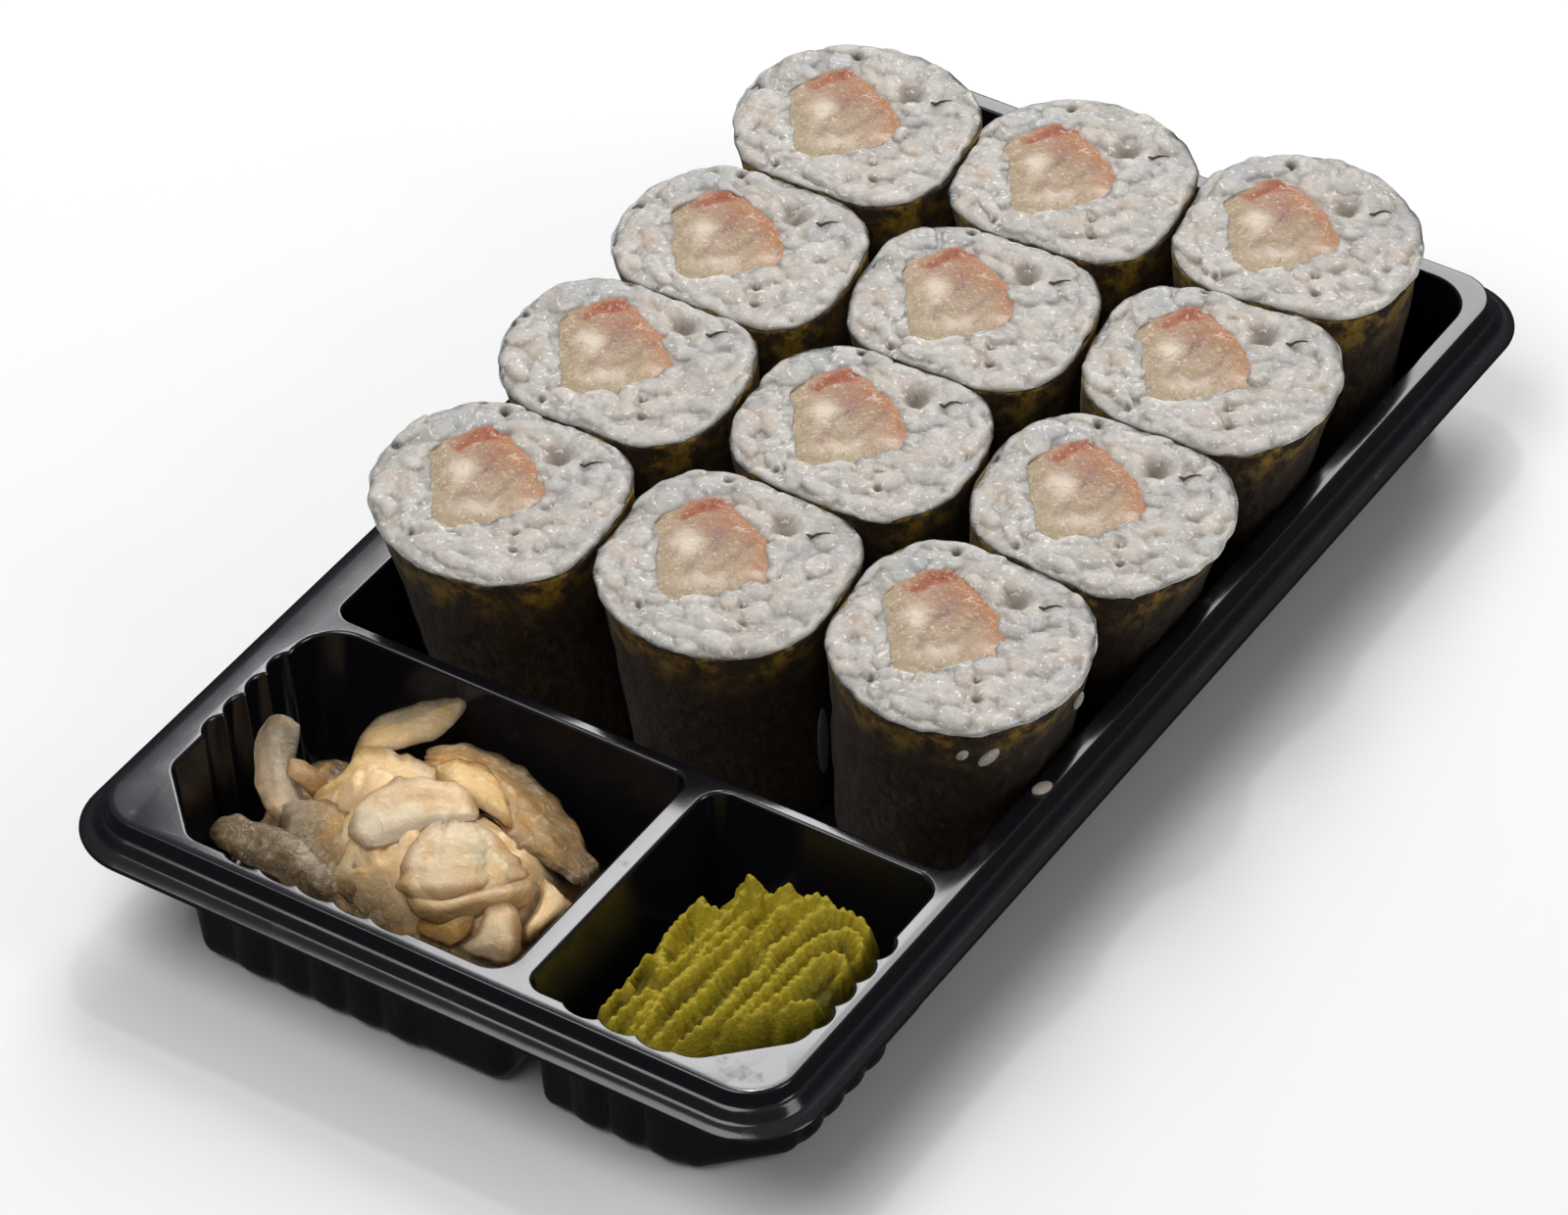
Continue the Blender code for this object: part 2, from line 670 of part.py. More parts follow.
def make_wasabi(compartment, material):
    bm = bmesh.new()
    columns = 2 * WASABI_RIDGES
    top = []
    for i in range(WASABI_ROWS + 1):
        v = i / WASABI_ROWS
        y, left, right = wasabi_edges(v)
        row = []
        for j in range(columns + 1):
            u = j / columns
            x = left + (right - left) * u
            row.append(bm.verts.new((x, y, TRAY_HEIGHT + wasabi_height(u, v))))
        top.append(row)
    for i in range(WASABI_ROWS):
        for j in range(columns):
            bm.faces.new((top[i][j], top[i + 1][j], top[i + 1][j + 1]))
            bm.faces.new((top[i][j], top[i + 1][j + 1], top[i][j + 1]))
    edge = border(top)
    inset = compartment.floor_limit() + GAP
    foot = []
    for vert in edge:
        x = min(max(vert.co.x, compartment.left + inset), compartment.right - inset)
        y = min(max(vert.co.y, compartment.front + inset), compartment.back - inset)
        foot.append((x, y))
    lower = add_loop(bm, foot, WALL + GAP)
    bridge(bm, edge, lower)
    fill(bm, [lower])
    return add_object(bm, "wasabi", material)


def main():
    clear_scene()
    materials = {
        "plastic": make_material("black_plastic", (0.012, 0.011, 0.015), 0.22),
        "rice": make_material("cooked_rice", (0.78, 0.77, 0.73), 0.35),
        "fish": make_material("raw_fish", (0.72, 0.52, 0.40), 0.3),
        "seaweed": make_material("seaweed", (0.045, 0.038, 0.018), 0.55),
        "ginger": make_material("pickled_ginger", (0.80, 0.66, 0.42), 0.35),
        "wasabi": make_material("wasabi_paste", (0.55, 0.55, 0.12), 0.5),
    }
    ginger, wasabi, rolls = tray_layout()
    make_tray((ginger, wasabi, rolls), materials["plastic"])
    make_rolls(rolls, materials)
    make_ginger(ginger, materials["ginger"])
    make_wasabi(wasabi, materials["wasabi"])


main()
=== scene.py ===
"""The looks of the takeaway sushi tray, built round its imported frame.

Sizes are in millimetres, in the part's own frame, until add_piece() turns them into metres. The
origin is the middle of the tray's underside, +Y runs from the two small pockets to the far end of
the roll compartment and +Z is up.
"""
import math

import bmesh
import bpy
import numpy as np
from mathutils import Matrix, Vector, noise


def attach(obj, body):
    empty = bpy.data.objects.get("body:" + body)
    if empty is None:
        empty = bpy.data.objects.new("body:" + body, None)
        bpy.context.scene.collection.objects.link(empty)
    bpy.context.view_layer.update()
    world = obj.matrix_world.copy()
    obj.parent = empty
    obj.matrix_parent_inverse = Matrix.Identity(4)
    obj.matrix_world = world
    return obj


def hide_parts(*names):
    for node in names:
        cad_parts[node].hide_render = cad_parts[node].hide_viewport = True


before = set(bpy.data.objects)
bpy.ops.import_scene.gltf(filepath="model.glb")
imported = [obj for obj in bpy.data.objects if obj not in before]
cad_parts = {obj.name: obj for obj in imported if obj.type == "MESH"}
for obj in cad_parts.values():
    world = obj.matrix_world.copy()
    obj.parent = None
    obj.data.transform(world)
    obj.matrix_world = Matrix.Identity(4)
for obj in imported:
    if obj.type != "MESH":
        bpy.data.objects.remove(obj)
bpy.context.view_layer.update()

MM = 0.001
TRAY_HEIGHT = 26.5
ROLL_TOP = 43.0
WALL = 0.8

# Tray
FLANGE_LENGTH = 228.0
FLANGE_WIDTH = 122.0
FLANGE_RADIUS = 7.9

# The rim from the flat top outwards and back under it, as distance past the flange's edge and height
RIM_TOP = ((-1.2, 0.0), (0.0, -0.1), (0.6, -2.5), (1.2, -2.8), (2.3, -4.4), (3.5, -4.7), (4.6, -5.3))
RIM_UNDERSIDE = ((4.6, -6.0), (3.3, -5.5), (1.7, -5.2), (0.2, -3.2), (-0.3, -WALL))
RIM_ROUNDING = 0.45

DIVIDER_WIDTH = 4.0
RIDGE_WIDTH = 2.5
SIDE_BORDER = 5.6
FRONT_BORDER = 3.0
RIGHT_BORDER = 3.5
BACK_BORDER = 3.7
SMALL_LENGTH = 51.5
GINGER_WIDTH = 68.3
CORNER_CUT = 11.5
SMALL_DRAFT = math.radians(5.0)
LARGE_DRAFT = math.radians(7.5)
SMALL_FLOOR_RADIUS = 3.5
LARGE_FLOOR_RADIUS = 2.5
OPENING_ROUNDING = 0.7
OPENING_ARC = (90, 74, 58, 42, 26, 10)
FLUTE_POWER = 0.8
FLUTE_AT_BEND = 0.9
FLUTE_FADE = 0.6
CORNER_STEPS = 14
FLUTE_STEPS = 12
BEND_STEPS = 8

# Rolls
ROLL_NAMES = ["r%dc%d" % (row, column) for row in (1, 2, 3, 4) for column in (1, 2, 3)]
CUT_DIRECTION = math.radians(32.2)
WRAP_THICKNESS = 0.35
WRAP_DROP = 0.8
WRINKLE_DEPTH = 0.3
WRINKLE_INSET = 0.25
WRINKLE_STRETCH = 0.45
GOLDEN_REACH = 9.0
WRAP_AROUND = 144
RICE_AROUND = 372
FISH_AROUND = 120
FOOT_HEIGHT = 1.15


# Meshes

def add_piece(name, verts, faces, material, replaces=(), origin=(0.0, 0.0, 0.0)):
    """A mesh in millimetres becomes a smooth piece in metres that rides on the tray.

    The mesh is stored round the origin, so that textures follow the piece.
    """
    local = (np.asarray(verts, float) - np.asarray(origin, float)) * MM
    mesh = bpy.data.meshes.new(name)
    mesh.from_pydata(local.tolist(), [], [tuple(f) for f in faces])
    bm = bmesh.new()
    bm.from_mesh(mesh)
    bmesh.ops.recalc_face_normals(bm, faces=bm.faces)
    bm.to_mesh(mesh)
    bm.free()
    mesh.shade_smooth()
    mesh.materials.append(material)
    piece = bpy.data.objects.new(name, mesh)
    piece.location = Vector(origin) * MM
    bpy.context.scene.collection.objects.link(piece)
    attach(piece, "root")
    if replaces:
        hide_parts(*replaces)
    return piece


def add_attribute(piece, name, values):
    attribute = piece.data.attributes.new(name, "FLOAT", "POINT")
    attribute.data.foreach_set("value", np.asarray(values, np.float32))


def add_colours(piece, name, colours):
    attribute = piece.data.attributes.new(name, "FLOAT_COLOR", "POINT")
    alpha = np.ones((len(colours), 1))
    attribute.data.foreach_set("color", np.hstack([colours, alpha]).astype(np.float32).ravel())


class Surface:
    """Collects the vertices and faces of one piece."""

    def __init__(self):
        self.verts = []
        self.faces = []
        self.count = 0

    def points(self, points):
        start = self.count
        self.verts.append(np.asarray(points, float))
        self.count += len(points)
        return start

    def loft(self, rows, closed_rows=False, closed_loft=False):
        """Quads between rows of points.

        closed_rows joins each row's ends, closed_loft the first and the last row.
        """
        starts = [self.points(row) for row in rows]
        size = len(rows[0])
        pairs = list(zip(starts, starts[1:])) + ([(starts[-1], starts[0])] if closed_loft else [])
        for first, second in pairs:
            for j in range(size if closed_rows else size - 1):
                k = (j + 1) % size
                self.faces.append((first + j, first + k, second + k, second + j))
        return starts

    def fan(self, start, size, centre):
        middle = self.points([centre])
        for j in range(size):
            self.faces.append((start + j, start + (j + 1) % size, middle))

    def all_verts(self):
        return np.concatenate(self.verts)

    def sheet(self, points, size):
        """Quads over a grid of points with this many points in a row; its first point's number."""
        return self.loft([points[i:i + size] for i in range(0, len(points), size)])[0]


def grid_border(steps, columns):
    """The numbers of a grid's border points, once round."""
    size = columns + 1
    return ([j for j in range(columns)] + [i * size + columns for i in range(steps)]
            + [steps * size + j for j in range(columns, 0, -1)] + [i * size for i in range(steps, 0, -1)])


def directions(count):
    return np.arange(count) * 2.0 * np.pi / count


def waves(points, size, seed=0.0):
    """Smooth noise between about -1 and 1 at each point; size is the width of its lumps."""
    offset = Vector((seed * 17.3, seed * 5.1, seed * 9.7))
    return np.array([noise.noise(Vector(p) / size + offset) for p in np.asarray(points, float)]) * 1.6


# Materials

class Look:
    """A material with a Principled shader and short calls for its other nodes."""

    def __init__(self, name, **values):
        self.material = bpy.data.materials.new(name)
        self.material.use_nodes = True
        self.tree = self.material.node_tree
        self.shader = self.tree.nodes["Principled BSDF"]
        self.place = self.add("TexCoord").outputs["Object"]
        self.feed(self.shader, values)

    def feed(self, node, values):
        for key, value in values.items():
            socket = node.inputs[key.replace("_", " ")] if isinstance(key, str) else node.inputs[key]
            if isinstance(value, bpy.types.NodeSocket):
                self.tree.links.new(value, socket)
            else:
                socket.default_value = value

    def add(self, kind, values=None, **settings):
        node = self.tree.nodes.new("ShaderNode" + kind)
        for key, value in settings.items():
            setattr(node, key, value)
        self.feed(node, values or {})
        return node

    def stretched(self, scale, turn=0.0):
        node = self.add("Mapping", {"Vector": self.place, "Scale": scale, "Rotation": (0.0, 0.0, turn)})
        return node.outputs["Vector"]

    def noise(self, width, detail=3.0, roughness=0.55, distortion=0.0, place=None):
        """Noise between 0 and 1; width is the size of its lumps in millimetres."""
        node = self.add("TexNoise", {
            "Vector": place or self.place, "Scale": 1.0 / (width * MM), "Detail": detail,
            "Roughness": roughness, "Distortion": distortion})
        return node.outputs["Fac"]

    def ramp(self, value, low, high):
        """0 below low and 1 above high, with soft ends."""
        node = self.add("MapRange", {"Value": value, "From Min": low, "From Max": high},
                        interpolation_type="SMOOTHSTEP")
        return node.outputs["Result"]

    def blend(self, share, first, second):
        node = self.add("Mix", {0: share, 6: colour(first), 7: colour(second)}, data_type="RGBA")
        return node.outputs[2]

    def times(self, first, second):
        return self.add("Math", {0: first, 1: second}, operation="MULTIPLY").outputs[0]

    def scaled(self, value, factor, start):
        """The value times factor, plus start."""
        return self.add("Math", {0: value, 1: factor, 2: start}, operation="MULTIPLY_ADD").outputs[0]

    def attribute(self, name, output="Fac"):
        return self.add("Attribute", attribute_name=name).outputs[output]

    def bump(self, height, depth, normal=None):
        """Relief of that depth in millimetres where the height goes from 0 to 1."""
        values = {"Height": height, "Distance": depth * MM, "Strength": 1.0}
        if normal:
            values["Normal"] = normal
        return self.add("Bump", values).outputs["Normal"]


def colour(value):
    return (*value, 1.0) if isinstance(value, tuple) and len(value) == 3 else value


def plastic_look():
    """Glossy black sheet with soft ripples, fine dust and a few dull smudges."""
    look = Look("black_plastic", Base_Color=(0.0055, 0.005, 0.0075, 1.0), IOR=1.58)
    smudges = look.ramp(look.noise(7.0, 5.0, 0.65), 0.60, 0.72)
    dust = look.ramp(look.noise(0.5, 2.0), 0.70, 0.76)
    rough = look.scaled(dust, 0.25, look.scaled(smudges, 0.16, 0.16))
    sway = look.bump(look.noise(38.0, 1.0), 0.55)
    ripple = look.bump(look.noise(16.0, 2.0), 0.10, sway)
    grain = look.bump(look.noise(0.7, 2.0), 0.004, ripple)
    look.feed(look.shader, {"Roughness": rough, "Normal": grain})
    return look.material


def rice_look():
    """Moist, slightly see-through grains, each with its own tint and fine wet glints; pale flecks are
    painted in as glints, and the creases and hollows get painted shade.
    """
    look = Look("cooked_rice", IOR=1.42, Subsurface_Weight=1.0, Subsurface_Scale=0.005,
                Subsurface_Radius=(1.0, 0.9, 0.8), Specular_IOR_Level=0.12, Coat_Weight=0.9,
                Coat_Roughness=0.07)
    mottling = look.noise(2.6, 3.0, 0.6)
    tone = look.scaled(look.ramp(mottling, 0.3, 0.7), 0.5, look.times(look.attribute("tint"), 0.5))
    base = look.blend(tone, (0.33, 0.31, 0.28), (0.52, 0.485, 0.435))
    blush = look.ramp(look.noise(8.0, 2.0, 0.5, 0.4), 0.52, 0.70)
    base = look.blend(look.times(blush, 0.6), base, (0.47, 0.375, 0.30))
    cool = look.ramp(look.noise(11.0, 2.0, 0.5, 0.4, look.stretched((1.0, 1.0, 1.0), 1.2)), 0.55, 0.75)
    base = look.blend(look.times(cool, 0.6), base, (0.32, 0.345, 0.375))
    # Painted shade: the creases and hollows between grains are darkened
    crease = look.times(look.attribute("crease"), 0.42)
    base = look.blend(crease, base, (0.25, 0.20, 0.15))
    # Painted glints: small pale flecks in the base colour
    moist = look.times(look.ramp(look.noise(0.9, 2.5, 0.6, 0.8), 0.60, 0.68), 0.65)
    base = look.blend(moist, base, (0.85, 0.84, 0.81))
    # Painted shade: a near-black brown in the hollows
    base = look.blend(look.attribute("brown"), base, (0.045, 0.028, 0.012))
    soft = look.bump(look.noise(1.5, 3.0, 0.6), 0.16)
    fine = look.bump(look.noise(1.0, 2.0, 0.6, 0.5), 0.75, soft)
    rough = look.scaled(look.ramp(look.noise(1.3, 3.0), 0.30, 0.75), 0.25, 0.25)
    look.feed(look.shader, {"Base Color": base, "Roughness": rough, "Normal": soft, "Coat Normal": fine})
    return look.material


def fish_look():
    """Wet cut fish: beige, with the zones of colour that the mesh's attributes give; the pale zone is a
    painted highlight, and thin pale lines are painted glints.
    """
    look = Look("raw_fish", IOR=1.45, Subsurface_Weight=0.3, Subsurface_Scale=0.002,
                Subsurface_Radius=(1.0, 0.5, 0.3), Specular_IOR_Level=0.1, Roughness=0.35, Coat_Weight=1.0,
                Coat_Roughness=0.05)
    wrinkles = look.noise(1.0, 2.5, 0.6, 1.6)
    fibres = look.noise(1.3, 5.0, 0.65, 1.2)
    mottling = look.noise(2.2, 4.0, 0.65, 0.6)
    base = look.blend(look.ramp(mottling, 0.3, 0.7), (0.36, 0.255, 0.15), (0.50, 0.385, 0.26))
    # The pale zone is a painted highlight; the other zones are the fish's own colours
    for zone, tone in (("mauve", (0.37, 0.19, 0.125)), ("peach", (0.44, 0.18, 0.07)),
                       ("rust", (0.34, 0.085, 0.03)), ("clear", (0.38, 0.31, 0.18)),
                       ("streak", (0.30, 0.185, 0.135)), ("pale", (0.74, 0.62, 0.50))):
        ragged = look.times(look.attribute(zone), look.ramp(mottling, 0.1, 0.5))
        base = look.blend(ragged, base, tone)
    # Painted glints: thin pale lines along the wrinkles
    moist = look.times(look.ramp(wrinkles, 0.57, 0.64), 0.5)
    base = look.blend(moist, base, (0.84, 0.68, 0.54))
    relief = look.bump(fibres, 0.35)
    wet = look.bump(wrinkles, 0.85, relief)
    look.feed(look.shader, {"Base Color": base, "Normal": relief, "Coat Normal": wet})
    return look.material


def seaweed_look():
    """Dark fibrous sheet; thin golden spots near its upper edge let light through."""
    look = Look("seaweed", IOR=1.45, Specular_IOR_Level=0.3, Sheen_Weight=0.08, Sheen_Roughness=0.4)
    fibres = look.noise(1.4, 6.0, 0.7, 0.6, look.stretched((1.0, 1.0, 0.55)))
    patches = look.noise(6.0, 4.0, 0.6, 0.5)
    base = look.blend(look.ramp(fibres, 0.35, 0.75), (0.010, 0.006, 0.003), (0.085, 0.052, 0.022))
    base = look.blend(look.ramp(patches, 0.35, 0.75), base, (0.034, 0.016, 0.006))
    golden = look.times(look.attribute("edge"), look.ramp(look.noise(4.0, 5.0, 0.7), 0.42, 0.66))
    base = look.blend(golden, base, (0.36, 0.21, 0.012))
    pale = look.times(look.ramp(look.noise(0.8, 3.0, 0.7), 0.60, 0.75), 0.4)
    base = look.blend(pale, base, (0.16, 0.135, 0.10))
    relief = look.bump(fibres, 0.7)
    rough = look.scaled(fibres, 0.3, 0.36)
    look.feed(look.shader, {"Base Color": base, "Roughness": rough, "Normal": relief})
    return look.material


def ginger_look():
    """Wet, see-through slices; the mesh's tint gives each slice its colour, and pale flecks along the fibres
    are painted glints.
    """
    look = Look("pickled_ginger", IOR=1.42, Subsurface_Weight=0.35, Subsurface_Scale=0.001,
                Subsurface_Radius=(1.0, 0.7, 0.4), Specular_IOR_Level=0.15, Roughness=0.3,
                Coat_Weight=1.0, Coat_Roughness=0.06)
    veins = look.noise(2.4, 5.0, 0.6, 1.2)
    vein_share = look.times(look.ramp(veins, 0.45, 0.75), 0.35)
    base = look.blend(vein_share, look.attribute("tint", "Color"), (0.92, 0.72, 0.48))
    golden = look.ramp(look.noise(6.0, 3.0, 0.5, 0.5), 0.50, 0.68)
    base = look.blend(look.times(golden, 0.45), base, (0.66, 0.35, 0.07))
    fibres = look.noise(1.1, 2.5, 0.65, 1.2)
    # Painted glints: pale flecks along the fibres
    moist = look.times(look.ramp(fibres, 0.60, 0.67), 0.22)
    base = look.blend(moist, base, (0.95, 0.86, 0.72))
    relief = look.bump(veins, 0.4)
    wet = look.bump(fibres, 0.6, relief)
    look.feed(look.shader, {"Base Color": base, "Normal": relief, "Coat Normal": wet,
                            "Transmission Weight": look.attribute("thin")})
    return look.material


def wasabi_look():
    """Yellow-green paste with a crumbly surface; painted light makes its crests and their crumbs paler, and
    painted shade darkens it between them.
    """
    look = Look("wasabi_paste", IOR=1.35, Subsurface_Weight=0.1, Subsurface_Scale=0.0012,
                Subsurface_Radius=(1.0, 0.9, 0.2))
    crest = look.attribute("crest")
    crumbs = look.noise(0.8, 4.0, 0.7)
    # Painted light and shade: pale on the crests, dark between them
    base = look.blend(crest, (0.11, 0.088, 0.003), (0.40, 0.31, 0.014))
    # Painted light: paler crumbs on the crests only
    base = look.blend(look.times(look.ramp(crumbs, 0.48, 0.72), crest), base, (0.42, 0.35, 0.03))
    brown = look.ramp(look.noise(4.0, 3.0, 0.6), 0.55, 0.72)
    base = look.blend(look.times(brown, 0.35), base, (0.25, 0.155, 0.004))
    relief = look.bump(crumbs, 0.45)
    rough = look.scaled(crumbs, 0.3, 0.38)
    look.feed(look.shader, {"Base Color": base, "Roughness": rough, "Normal": relief})
    return look.material


def fleck_look():
    look = Look("brown_fleck", Roughness=0.5)
    base = look.blend(look.noise(0.4), (0.03, 0.018, 0.008), (0.16, 0.09, 0.03))
    look.feed(look.shader, {"Base Color": base})
    return look.material


def smear_look():
    look = Look("dried_starch", Roughness=0.3, Alpha=0.5)
    base = look.blend(look.noise(1.2), (0.16, 0.17, 0.19), (0.42, 0.42, 0.42))
    look.feed(look.shader, {"Base Color": base})
    return look.material


# Tray

class Compartment:
    """A pocket with straight sides, rounded or cut corners and vertical flutes along some sides."""

    def __init__(self, corners, draft, floor_radius, flutes=()):
        """A corner is x, y and radius; flutes are side, start, count, pitch and depth."""
        self.corners = corners
        self.draft = draft
        self.floor_radius = floor_radius
        self.flutes = {flute[0]: flute[1:] for flute in flutes}

    def outline(self, inset, flute_scale=1.0):
        """Points counterclockwise, the whole outline moved inwards by inset."""
        points = []
        count = len(self.corners)
        for i, (x, y, radius) in enumerate(self.corners):
            before = Vector(self.corners[i - 1][:2])
            here = Vector((x, y))
            after = Vector(self.corners[(i + 1) % count][:2])
            arrive = (here - before).normalized()
            leave = (after - here).normalized()
            points += rounded_corner(here, arrive, leave, radius, inset)
            if i in self.flutes:
                points += self.fluted_side(here, leave, inset, flute_scale, *self.flutes[i])
        return points

    def fluted_side(self, corner, along, inset, scale, start, count, pitch, depth):
        inwards = Vector((-along.y, along.x))
        points = []
        for step in range(count * FLUTE_STEPS + 1):
            u = step / FLUTE_STEPS % 1.0
            bulge = depth * scale * (4.0 * u * (1.0 - u)) ** FLUTE_POWER
            place = corner + along * (start + pitch * step / FLUTE_STEPS) + inwards * (inset - bulge)
            points.append(tuple(place))
        return points

    def profile(self, thickness):
        """Inset, height above the flange's top and flute scale, from the wall to the floor."""
        bend_depth = TRAY_HEIGHT - WALL - self.floor_radius
        bend_inset = bend_depth * math.tan(self.draft) + self.floor_radius
        reach = self.floor_radius + thickness
        steps = []
        for step in range(BEND_STEPS + 1):
            turn = math.radians(90.0) * step / BEND_STEPS
            height = -bend_depth - reach * math.sin(turn)
            flute_scale = FLUTE_AT_BEND - FLUTE_FADE * step / BEND_STEPS
            steps.append((bend_inset - reach * math.cos(turn), height, flute_scale))
        return steps


def rounded_corner(corner, arrive, leave, radius, inset):
    """The arc at one corner of an outline that is moved inwards by inset."""
    turn = arrive.angle(leave)
    inwards_before = Vector((-arrive.y, arrive.x))
    inwards_after = Vector((-leave.y, leave.x))
    bisector = (inwards_before + inwards_after).normalized()
    arc_radius = max(radius - inset, 0.8)
    centre = corner + bisector * ((inset + arc_radius) / math.cos(turn / 2.0))
    first = math.atan2(-inwards_before.y, -inwards_before.x)
    return [(centre.x + arc_radius * math.cos(first + turn * step / CORNER_STEPS),
             centre.y + arc_radius * math.sin(first + turn * step / CORNER_STEPS))
            for step in range(CORNER_STEPS + 1)]


def tray_layout():
    """The three compartments, placed from the flange's edges."""
    left, right = -FLANGE_WIDTH / 2.0, FLANGE_WIDTH / 2.0
    front, back = -FLANGE_LENGTH / 2.0, FLANGE_LENGTH / 2.0
    small_front = front + FRONT_BORDER
    small_back = small_front + SMALL_LENGTH
    ginger_left = left + SIDE_BORDER
    ginger_right = ginger_left + GINGER_WIDTH
    wasabi_left = ginger_right + DIVIDER_WIDTH
    wasabi_right = right - RIGHT_BORDER
    ginger = Compartment(
        ((ginger_left, small_front + CORNER_CUT, 4.0), (ginger_left + CORNER_CUT, small_front, 4.0),
         (ginger_right, small_front, 4.5), (ginger_right, small_back, 3.0), (ginger_left, small_back, 7.0)),
        SMALL_DRAFT, SMALL_FLOOR_RADIUS,
        flutes=((1, 6.5, 5, 6.75, 0.95), (4, 8.7, 4, 5.75, 1.3)))
    wasabi = Compartment(
        ((wasabi_left, small_front, 3.0), (wasabi_right - CORNER_CUT, small_front, 5.0),
         (wasabi_right, small_front + CORNER_CUT, 5.0), (wasabi_right, small_back, 4.0),
         (wasabi_left, small_back, 4.0)),
        SMALL_DRAFT, SMALL_FLOOR_RADIUS,
        flutes=((0, 7.0, 3, 6.4, 1.1), (2, 2.9, 4, 5.85, 1.3)))
    roll_left = left + SIDE_BORDER + 0.7
    roll_front = small_back + RIDGE_WIDTH
    roll_back = back - BACK_BORDER
    rolls = Compartment(
        ((roll_left, roll_front, 3.0), (wasabi_right, roll_front, 3.0), (wasabi_right, roll_back, 8.0),
         (roll_left, roll_back, 8.0)),
        LARGE_DRAFT, LARGE_FLOOR_RADIUS)
    return ginger, wasabi, rolls


def rim_outline(outset):
    """The flange's outline, moved outwards."""
    half_width = FLANGE_WIDTH / 2.0
    half_length = FLANGE_LENGTH / 2.0
    edge = Compartment(
        ((-half_width, -half_length, FLANGE_RADIUS), (half_width, -half_length, FLANGE_RADIUS),
         (half_width, half_length, FLANGE_RADIUS), (-half_width, half_length, FLANGE_RADIUS)), 0.0, 0.0)
    return edge.outline(-outset)


def rounded_path(points, radius, steps=3):
    """A profile with each inner corner replaced by a short curve."""
    points = [Vector(p) for p in points]
    path = [points[0]]
    for before, here, after in zip(points, points[1:], points[2:]):
        start = here + (before - here).normalized() * min(radius, (before - here).length * 0.45)
        end = here + (after - here).normalized() * min(radius, (after - here).length * 0.45)
        for step in range(steps + 1):
            t = step / steps
            path.append(start * (1 - t) ** 2 + here * 2 * t * (1 - t) + end * t ** 2)
    return path + [points[-1]]


def tray_loop(bm, outline, height):
    return [bm.verts.new((x, y, TRAY_HEIGHT + height)) for x, y in outline]


def tray_bridge(bm, loops):
    for first, second in zip(loops, loops[1:]):
        for i in range(len(first)):
            j = (i + 1) % len(first)
            bm.faces.new((first[i], first[j], second[j], second[i]))


def tray_fill(bm, loops):
    """The flat region inside the first loop and outside the others."""
    edges = [bm.edges.get((loop[i - 1], loop[i])) or bm.edges.new((loop[i - 1], loop[i]))
             for loop in loops for i in range(len(loop))]
    bmesh.ops.triangle_fill(bm, use_beauty=True, edges=edges)


def make_tray(look):
    """The sheet: flange and rim, and each compartment's inside and outside."""
    bm = bmesh.new()
    rim = [tray_loop(bm, rim_outline(place.x), place.y)
           for place in rounded_path(RIM_TOP + RIM_UNDERSIDE, RIM_ROUNDING)]
    tray_bridge(bm, rim)
    openings = []
    undersides = []
    edge = [(OPENING_ROUNDING * (math.cos(a) - 1.0), OPENING_ROUNDING * (math.sin(a) - 1.0), 1.0)
            for a in np.radians(OPENING_ARC)]
    for compartment in tray_layout():
        inside = edge + compartment.profile(0.0)
        outside = [(-WALL, -WALL, 1.0)] + compartment.profile(WALL)
        inner, outer = [
            [tray_loop(bm, compartment.outline(inset, scale), height) for inset, height, scale in profile]
            for profile in (inside, outside)]
        for loops in (inner, outer):
            tray_bridge(bm, loops)
            tray_fill(bm, [loops[-1]])
        openings.append(inner[0])
        undersides.append(outer[0])
    tray_fill(bm, [rim[0]] + openings)
    tray_fill(bm, [rim[-1]] + undersides)
    bm.verts.index_update()
    verts = [tuple(v.co) for v in bm.verts]
    faces = [[v.index for v in face.verts] for face in bm.faces]
    bm.free()
    tray = add_piece("tray_sheet", verts, faces, look, ["tray"])
    flat = tray.modifiers.new("flat_faces_stay_flat", "WEIGHTED_NORMAL")
    flat.weight = 100
    return tray


# Rolls, read from the frame

def node_points(name, low, high):
    """A node's own vertices between two heights, in millimetres."""
    points = np.array([v.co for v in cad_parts[name].data.vertices]) / MM
    points = np.unique(np.round(points, 3), axis=0)
    return points[(points[:, 2] > low) & (points[:, 2] < high)]


class Outline:
    """A closed outline as its radius by direction, smooth through evenly turned points."""

    def __init__(self, centre, points):
        self.centre = np.asarray(centre, float)
        offsets = points[:, :2] - self.centre
        turns = np.round(np.degrees(np.arctan2(offsets[:, 1], offsets[:, 0]))) % 360.0
        radii = np.hypot(offsets[:, 0], offsets[:, 1])[np.argsort(turns)]
        self.parts = np.fft.rfft(radii) / len(radii)

    def radius(self, turn):
        turn = np.asarray(turn, float)
        total = np.full(turn.shape, self.parts[0].real)
        for order, part in enumerate(self.parts[1:-1], start=1):
            total += 2.0 * (part * np.exp(1j * order * turn)).real
        return total + (self.parts[-1] * np.exp(1j * (len(self.parts) - 1) * turn)).real


def wrap_outline(points):
    """The outer outline of a wrap's ring, whose inner and outer points lie in pairs on its rays."""
    flat = points[:, :2]
    gaps = np.linalg.norm(flat[:, None] - flat[None, :], axis=2)
    np.fill_diagonal(gaps, np.inf)
    partner = flat[gaps.argmin(axis=1)]
    rays = (partner - flat) / np.linalg.norm(partner - flat, axis=1)[:, None]
    across = np.eye(2) - rays[:, :, None] * rays[:, None, :]
    centre = np.linalg.solve(across.sum(axis=0), (across @ flat[:, :, None]).sum(axis=0)[:, 0])
    outer = np.linalg.norm(flat - centre, axis=1) > np.linalg.norm(partner - centre, axis=1)
    return Outline(centre, flat[outer])


